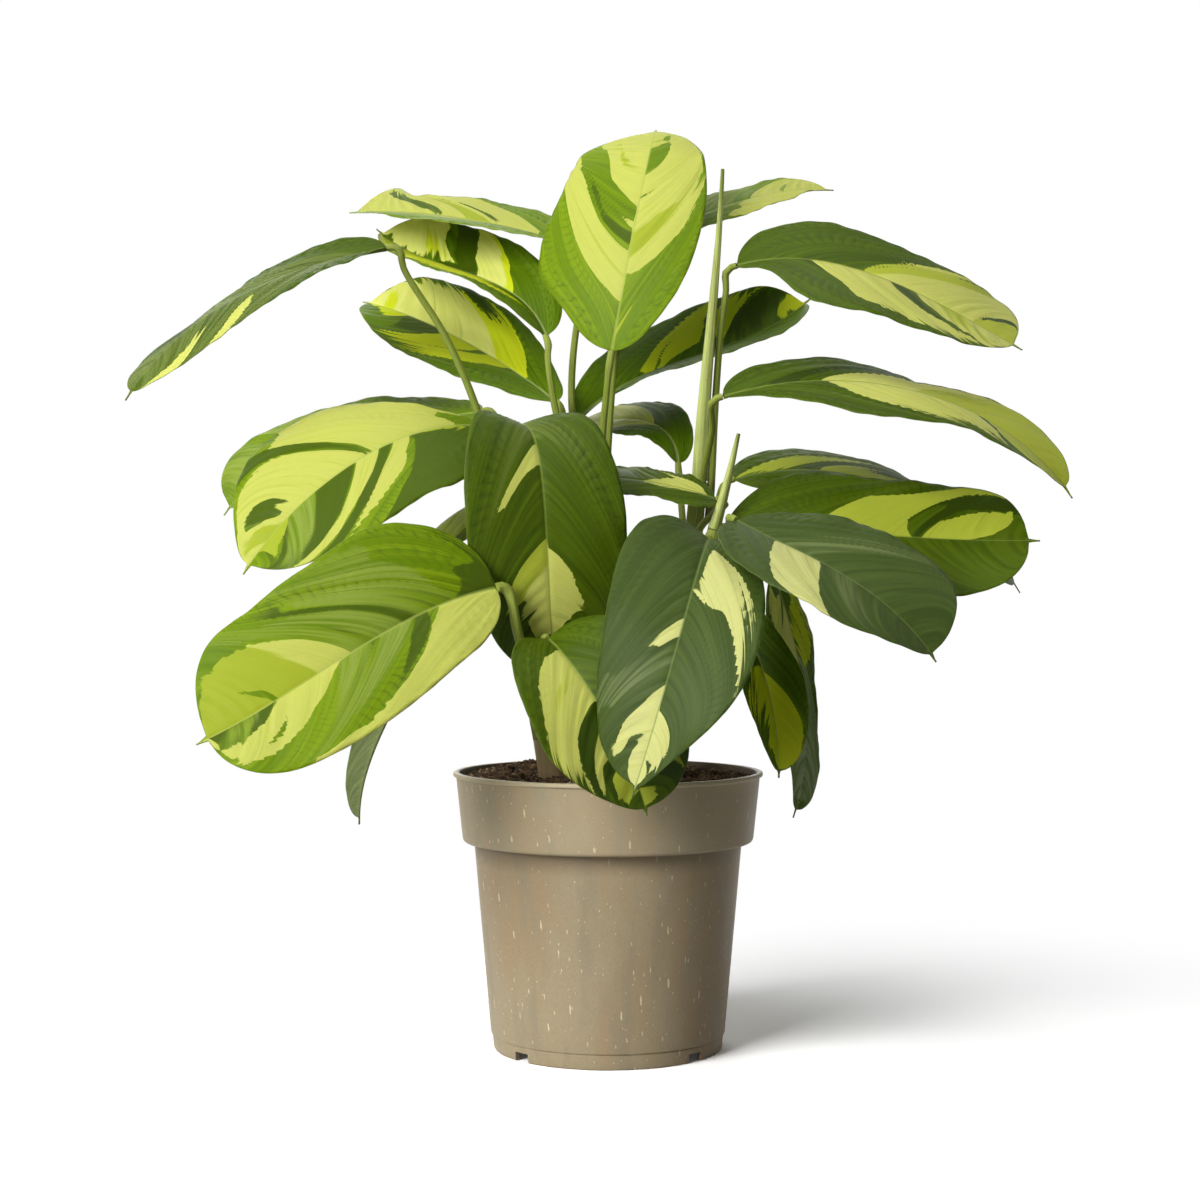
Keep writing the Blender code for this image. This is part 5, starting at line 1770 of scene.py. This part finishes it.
@dataclass(frozen=True)
class Pot:
    """A 170 mm nursery pot: rolled lip, deep collar, tapering body, skirt and notched foot ring."""

    height: float = 151.0
    rim_radius: float = 85.0
    lip_height: float = 2.4
    lip_proud: float = 1.6
    collar_height: float = 38.0
    collar_foot_radius: float = 79.6
    body_top_radius: float = 73.4
    body_foot_radius: float = 64.2
    skirt_height: float = 8.0
    skirt_radius: float = 63.4
    foot_radius: float = 62.6
    foot_width: float = 2.4
    wall: float = 1.8
    floor_raise: float = 6.0
    pad_radius: float = 38.0
    pad_slope: float = 5.0
    drain_angles: tuple = (-137.0, -43.0, 43.0, 137.0)
    drain_width: float = 10.0
    drain_height: float = 5.0
    drain_hole_radius: float = 4.0
    steps: int = 192
    sharp_angle: float = 38.0
    finish: PotFinish = PotFinish()

    def outline(self) -> list:
        """Draws the pot's section.

        Returns:
            Its (radius, height) places: underside, outer wall, rim, inner wall and floor.
        """
        collar_foot = self.height - self.collar_height
        lip_foot = self.height - self.lip_height
        collar_top = self.rim_radius - self.lip_proud
        ring_inside = self.foot_radius - self.foot_width
        floor_top = self.floor_raise + self.wall
        corners = [  # (radius, height, rounding)
            (0, 0, 0), (self.pad_radius, 0, 1), (self.pad_radius + self.pad_slope, self.floor_raise, 1),
            (ring_inside, self.floor_raise, 1), (ring_inside, 0, 0.4), (self.foot_radius, 0, 1.2),
            (self.skirt_radius, self.skirt_height - 0.1, 0.3),
            (self.skirt_radius - 0.35, self.skirt_height + 0.25, 0.1),
            (self.body_foot_radius, self.skirt_height + 0.7, 0.3),
            (self.body_top_radius, collar_foot - 0.2, 1.2),
            (self.collar_foot_radius, collar_foot, 2.6),
            (collar_top, lip_foot, 0.8), (self.rim_radius, lip_foot + 0.1, 0.9),
            (self.rim_radius, self.height, 1.1), (collar_top - self.wall, self.height, 0.7),
            (collar_top - self.wall, lip_foot, 0.5),
            (self.collar_foot_radius - self.wall, collar_foot + 2.5, 1.5),
            (self.body_top_radius - self.wall, collar_foot, 1.5),
            (self.body_foot_radius - self.wall, floor_top, 2), (self.pad_radius, floor_top, 1),
            (self.pad_radius - self.pad_slope, self.wall, 1), (0, self.wall, 0),
        ]
        places = rounded([(r, z) for r, z, _ in corners], [c for _, _, c in corners])
        return self.denser(places)

    @staticmethod
    def denser(places: list, longest: float = 9.0) -> list:
        """Divides the outline's long straight runs.

        Args:
            places: The outline.
            longest: The longest run to keep, in mm.

        Returns:
            The outline with more places.
        """
        made = [places[0]]
        for start, end in zip(places, places[1:]):
            count = max(1, math.ceil(math.dist(start, end) / longest))
            for k in range(1, count + 1):
                made.append((start[0] + (end[0] - start[0]) * k / count,
                             start[1] + (end[1] - start[1]) * k / count))
        return made

    def cutter(self) -> bpy.types.Object:
        """Builds the guide body that cuts the drain notches and holes.

        Returns:
            The guide.
        """
        bm = bmesh.new()
        hole_circle = (self.pad_radius + self.pad_slope + self.foot_radius - self.foot_width) / 2
        for angle in self.drain_angles:
            turn = Matrix.Rotation(math.radians(angle), 3, "Z")
            notch = bmesh.ops.create_cube(bm, size=MM)["verts"]
            size = (self.foot_width * 3, self.drain_width, self.drain_height * 2)
            bmesh.ops.scale(bm, vec=size, verts=notch)
            bmesh.ops.translate(bm, vec=((self.foot_radius - self.foot_width / 2) * MM, 0, 0), verts=notch)
            bmesh.ops.rotate(bm, cent=(0, 0, 0), verts=notch, matrix=turn)
            radius = self.drain_hole_radius * MM
            hole = bmesh.ops.create_cone(bm, segments=32, cap_ends=True, radius1=radius, radius2=radius,
                                         depth=4 * self.wall * MM)["verts"]
            middle = Vector((hole_circle, 0, self.floor_raise + self.wall / 2)) * MM
            bmesh.ops.translate(bm, vec=turn @ middle, verts=hole)
        return placed("drain_cutter", mesh_of(bm, "drain_cutter"))

    def build(self) -> bpy.types.Object:
        """Builds the pot, which stands for the CAD pot.

        Returns:
            The pot.
        """
        mesh = turned("nursery_pot", self.outline(), self.steps)
        source = placed("pot_source", mesh, self.finish.make())
        guide = self.cutter()
        cut = source.modifiers.new("drains", "BOOLEAN")
        cut.operation = "DIFFERENCE"
        cut.solver = "EXACT"
        cut.object = guide
        piece = baked(source, "nursery_pot")
        bpy.data.objects.remove(guide)
        piece.data.shade_smooth()
        piece.data.set_sharp_from_angle(angle=math.radians(self.sharp_angle))
        settle(piece, "pot", "pot")
        return piece


class CrumbTree(GeometryTree):
    """Geometry nodes that scatter peat crumbs and fibres over a surface."""

    def __init__(self) -> None:
        """Builds the tree."""
        super().__init__("crumbs", {"Crumbs": "Float", "Crumb size": "Float", "Fibres": "Float",
                                    "Fibre length": "Float", "Fibre radius": "Float", "Reach": "Float",
                                    "Material": "Material"})
        crumbs = self.scatter(self.crumb(), "Crumbs", "Crumb size", 3, (0.35, 1.35), True)
        fibres = self.scatter(self.fibre(), "Fibres", "Fibre length", 8, (0.4, 1.2), False)
        joined = self.node("GeometryNodeJoinGeometry", values={"Geometry": crumbs})
        for part in (fibres, self.given.of("Geometry")):
            self.tree.links.new(part.socket, joined.socket.node.inputs[0])
        self.close(joined)

    def crumb(self) -> Value:
        """Makes one lumpy crumb of 20 faces.

        Returns:
            The crumb, about 1 m across.
        """
        ball = self.node("GeometryNodeMeshIcoSphere", values={"Radius": 0.5, "Subdivisions": 1})
        at = self.node("GeometryNodeInputPosition")
        lump = self.node("ShaderNodeTexNoise", values={"Vector": at, "Scale": 2.3}).of("Color")
        push = self.node("ShaderNodeVectorMath", {"operation": "SUBTRACT"},
                         {"Vector": lump, "Vector_001": (0.5, 0.5, 0.5)})
        return self.node("GeometryNodeSetPosition", values={"Geometry": ball, "Offset": push})

    def fibre(self) -> Value:
        """Makes one bent fibre.

        Returns:
            The fibre, about 1 m long.
        """
        arc = self.node("GeometryNodeCurveArc", values={"Resolution": 6, "Radius": 0.8, "Sweep Angle": 1.4})
        ring = self.circle(4, self.given.of("Fibre radius"))
        return self.node("GeometryNodeCurveToMesh",
                         values={"Curve": arc, "Profile Curve": ring, "Fill Caps": True})

    def chance(self, seed: int, low: float, high: float) -> Value:
        """A seeded random number for each point or instance."""
        return self.node("FunctionNodeRandomValue", {"data_type": "FLOAT"},
                         {"Min_001": low, "Max_001": high, "Seed": seed}).of("Value_001")

    def scatter(self, piece: Value, density: str, size: str, seed: int, spread: Span,
                any_way: bool) -> Value:
        """Puts a piece at seeded random places, turns and sizes, clear of the pot's wall.

        Args:
            piece: What is scattered.
            density: The input that says how many, per square metre.
            size: The input that says how large they usually are, in metres.
            seed: Picks the places.
            spread: The smallest and largest size, as shares of the usual.
            any_way: Whether they are turned freely, or lie nearly flat.

        Returns:
            The instances.
        """
        usual = self.given.of(size)
        from_axis = self.from_axis(self.node("GeometryNodeInputPosition"))
        clear = 0.5 if any_way else 0.9  # of the usual size
        inside = self.math("LESS_THAN", from_axis + usual * clear, self.given.of("Reach"))
        places = self.node("GeometryNodeDistributePointsOnFaces", {"distribute_method": "RANDOM"},
                           {"Mesh": self.given.of("Geometry"), "Selection": inside,
                            "Density": self.given.of(density), "Seed": seed}).of("Points")
        tip = math.pi if any_way else 0.35
        turn = self.node("FunctionNodeRandomValue", {"data_type": "FLOAT_VECTOR"},
                         {"Min": (-tip, -tip, 0.0), "Max": (tip, tip, math.tau), "Seed": seed + 1})
        scale = self.chance(seed + 2, *spread)
        put = self.node("GeometryNodeInstanceOnPoints", values={
            "Points": places, "Instance": piece, "Rotation": turn, "Scale": scale * usual})
        tint = self.chance(seed + 3, 0.0, 1.0)
        return self.store(put, "tint", tint, "INSTANCE")


@dataclass(frozen=True)
class PottingMix:
    """The peat that fills the pot: a low mound of clods, crumbs and fibres."""

    radius: float = 80.8
    level: float = 146.5  # its edge's height
    mound: float = 3.0
    lump_height: float = 0.9
    lump_width: float = 9.0
    lump_depth: float = 7.5
    lump_shift: float = 1.3
    # Each layer of clods: (height, width, depth, shift), as for the lumps. Each heap: (x, y, height, width).
    clods: tuple = ((0.7, 3.1, 2.7, 0.4), (0.45, 1.7, 1.9, 2.1), (0.3, 0.9, 1.1, 4.0))
    heaps: tuple = ((-42, 34, 4.5, 24), (52, -8, 3.2, 16), (-4, -34, 2.2, 20))
    rim_radius: float = 85.0  # where the mound and the heaps have run out
    skirt_depth: float = 12.0
    skirt_share: float = 0.985
    rings: int = 90
    steps: int = 260
    crumbs: float = 150000.0  # per square metre
    crumb_size: float = 3.1
    fibres: float = 22000.0
    fibre_length: float = 6.5
    fibre_radius: float = 0.04  # as a share of its length
    finish: PeatFinish = PeatFinish()

    def height_at(self, x: Array, y: Array) -> Array:
        """Shapes the top.

        Args:
            x: Places to the right, in mm.
            y: Places to the back, in mm.

        Returns:
            The top's height there, in mm.
        """
        share = np.clip(np.hypot(x, y) / self.rim_radius, 0, 1)
        lumps = np.sin(x / self.lump_width + self.lump_shift) * np.sin(y / self.lump_depth - self.lump_shift)
        clods = sum(height * np.sin(x / width + shift) * np.sin(y / depth - shift)
                    for height, width, depth, shift in self.clods)
        heaps = sum(height * np.exp(-((x - across) ** 2 + (y - back) ** 2) / width**2)
                    for across, back, height, width in self.heaps)
        return (self.level + self.mound * (1 - share**2) + self.lump_height * lumps * (1 - share**4)
                + (clods + heaps) * (1 - share**12))

    def build(self) -> bpy.types.Object:
        """Builds the mix, which stands for the CAD solid in the pot: a closed body under the crumbs.

        Returns:
            The mix.
        """
        radii = self.radius * np.linspace(1, 0, self.rings + 1)[:-1]
        angles = np.linspace(0, math.tau, self.steps, endpoint=False)
        x = radii[:, None] * np.cos(angles)
        y = radii[:, None] * np.sin(angles)
        top = np.stack([x, y, self.height_at(x, y)], axis=-1)
        peat = self.finish.make()
        source = placed("peat_source", self.body(top), peat)
        settings = {"Crumbs": self.crumbs, "Crumb size": self.crumb_size * MM, "Fibres": self.fibres,
                    "Fibre length": self.fibre_length * MM, "Fibre radius": self.fibre_radius,
                    "Reach": self.radius * MM, "Material": peat}
        mix = CrumbTree().run(source, "peat_top", settings)
        settle(mix, "potting_mix", "potting_mix")
        return mix

    def body(self, top: Array) -> bpy.types.Mesh:
        """Builds the mound, closed by a skirt and a floor a little below the surface.

        Args:
            top: The top's places, ring by ring from its edge to its middle, in mm.

        Returns:
            The mesh.
        """
        bm = bmesh.new()
        grid = [[bm.verts.new(point * MM) for point in ring] for ring in top]
        floor = (self.level - self.skirt_depth) * MM
        under = [bm.verts.new((x * MM * self.skirt_share, y * MM * self.skirt_share, floor))
                 for x, y, _ in top[0]]
        rings = [under, *grid]
        for low, high in zip(rings, rings[1:]):
            for k in range(len(low)):
                after = (k + 1) % len(low)
                bm.faces.new((low[k], low[after], high[after], high[k]))
        bm.faces.new(grid[-1])
        bm.faces.new(list(reversed(under)))
        bmesh.ops.recalc_face_normals(bm, faces=bm.faces)
        mesh = mesh_of(bm, "peat_source")
        mesh.shade_smooth()
        return mesh


# ---------------------------------------------------------------- studio


WHITE = (1.0, 1.0, 1.0, 1.0)


@dataclass(frozen=True)
class Lamp:
    """A square soft lamp, aimed at a point, in metres and watts."""

    name: str
    place: tuple
    aim: tuple
    side: float
    power: float

    def build(self) -> None:
        """Puts the lamp in the scene."""
        data = bpy.data.lights.new(self.name, "AREA")
        data.shape = "SQUARE"
        data.size = self.side
        data.energy = self.power
        lamp = placed(self.name, data)
        lamp.location = self.place
        lamp.rotation_euler = (Vector(self.aim) - Vector(self.place)).to_track_quat("-Z", "Y").to_euler()


@dataclass(frozen=True)
class Studio:
    """A pale floor and white surroundings, a large soft key lamp, three weak fills, and the camera."""

    floor_radius: float = 6.0
    floor_white: float = 1.8  # how pale the floor is where it is seen
    floor_grey: float = 0.26  # and where it throws light back up
    floor_glow: float = 0.03
    white_from: float = 0.10  # distance from the pot where the floor starts to turn plain white
    white_by: float = 0.56
    ambient: float = 0.055
    lamps: tuple = (
        Lamp("key", (-1.55, -1.75, 1.35), (0.0, 0.0, 0.24), 1.4, 67.0),
        Lamp("low_fill", (-1.3, -1.6, 0.03), (0.05, 0.0, 0.42), 0.9, 12.0),
        Lamp("top_fill", (-0.1, -0.6, 2.1), (0.05, 0.0, 0.35), 1.4, 13.0),
        Lamp("back_fill", (-0.3, 2.2, 1.0), (0.0, 0.0, 0.3), 1.6, 16.0),
    )
    camera_place: tuple = (-0.0044, -1.139, 0.2449)
    lens: float = 62.1  # mm, as is the sensor
    sensor: float = 36.0

    def background_rays(self, g: Graph) -> Value:
        """1 for camera, glossy and transmission rays, and 0 for the rest."""
        path = g.node("ShaderNodeLightPath")
        return g.math("MINIMUM", path.of("Is Camera Ray") + path.of("Is Glossy Ray")
                      + path.of("Is Transmission Ray"), 1.0)

    def build_world(self) -> None:
        """White where it is seen, and softer where it lights."""
        world = bpy.data.worlds.new("surroundings")
        bpy.context.scene.world = world
        world.use_nodes = True
        world.node_tree.nodes.clear()
        g = Graph(world.node_tree)
        seen = self.background_rays(g)
        strength = seen * (1.0 - self.ambient) + self.ambient
        light = g.node("ShaderNodeBackground", values={"Color": WHITE, "Strength": strength})
        g.node("ShaderNodeOutputWorld", values={"Surface": light})

    def build_floor(self) -> None:
        """A round floor that keeps the shadow near the pot and turns white farther out."""
        bm = bmesh.new()
        bmesh.ops.create_circle(bm, cap_ends=True, segments=128, radius=self.floor_radius)
        g = Shader("floor_pale")
        far = g.step(g.from_axis(g.object_place()), self.white_from, self.white_by)
        seen = self.background_rays(g)
        glow = g.node("ShaderNodeEmission", values={"Color": WHITE, "Strength": seen * self.floor_glow})
        white_grey = [(shade, shade, shade) for shade in (self.floor_grey, self.floor_white)]
        matt = g.node("ShaderNodeBsdfDiffuse", values={"Color": g.mix(seen, *white_grey)})
        near = g.node("ShaderNodeAddShader", values={"Shader": matt, "Shader_001": glow})
        white = g.node("ShaderNodeEmission", values={"Color": WHITE, "Strength": 1.0})
        surface = g.node("ShaderNodeMixShader",
                         values={"Fac": far * seen, "Shader": near, "Shader_001": white})
        g.node("ShaderNodeOutputMaterial", values={"Surface": surface})
        floor = placed("floor", mesh_of(bm, "floor"), g.material)
        floor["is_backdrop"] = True

    def build_camera(self) -> None:
        """A level camera in front of the plant."""
        data = bpy.data.cameras.new("camera")
        data.sensor_width = self.sensor
        data.lens = self.lens
        camera = placed("camera", data)
        camera.location = self.camera_place
        camera.rotation_euler = (math.radians(90), 0.0, 0.0)
        bpy.context.scene.camera = camera

    def build(self) -> None:
        """Sets the colour management, surroundings, lamps and camera."""
        bpy.context.scene.view_settings.view_transform = "Standard"
        self.build_world()
        self.build_floor()
        for lamp in self.lamps:
            lamp.build()
        self.build_camera()
        log.info("studio: floor, %d lamps and camera", len(self.lamps))


def corners() -> list:
    """The shown object's lowest and highest corner, as plain lists."""
    low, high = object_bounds()
    return [list(low), list(high)]


def main() -> None:
    """Builds the studio and the plant."""
    logging.basicConfig(level=logging.INFO, format="%(message)s")
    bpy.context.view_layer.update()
    Studio().build()
    Pot().build()
    PottingMix().build()
    Foliage().build()


if __name__ == "__main__":
    main()
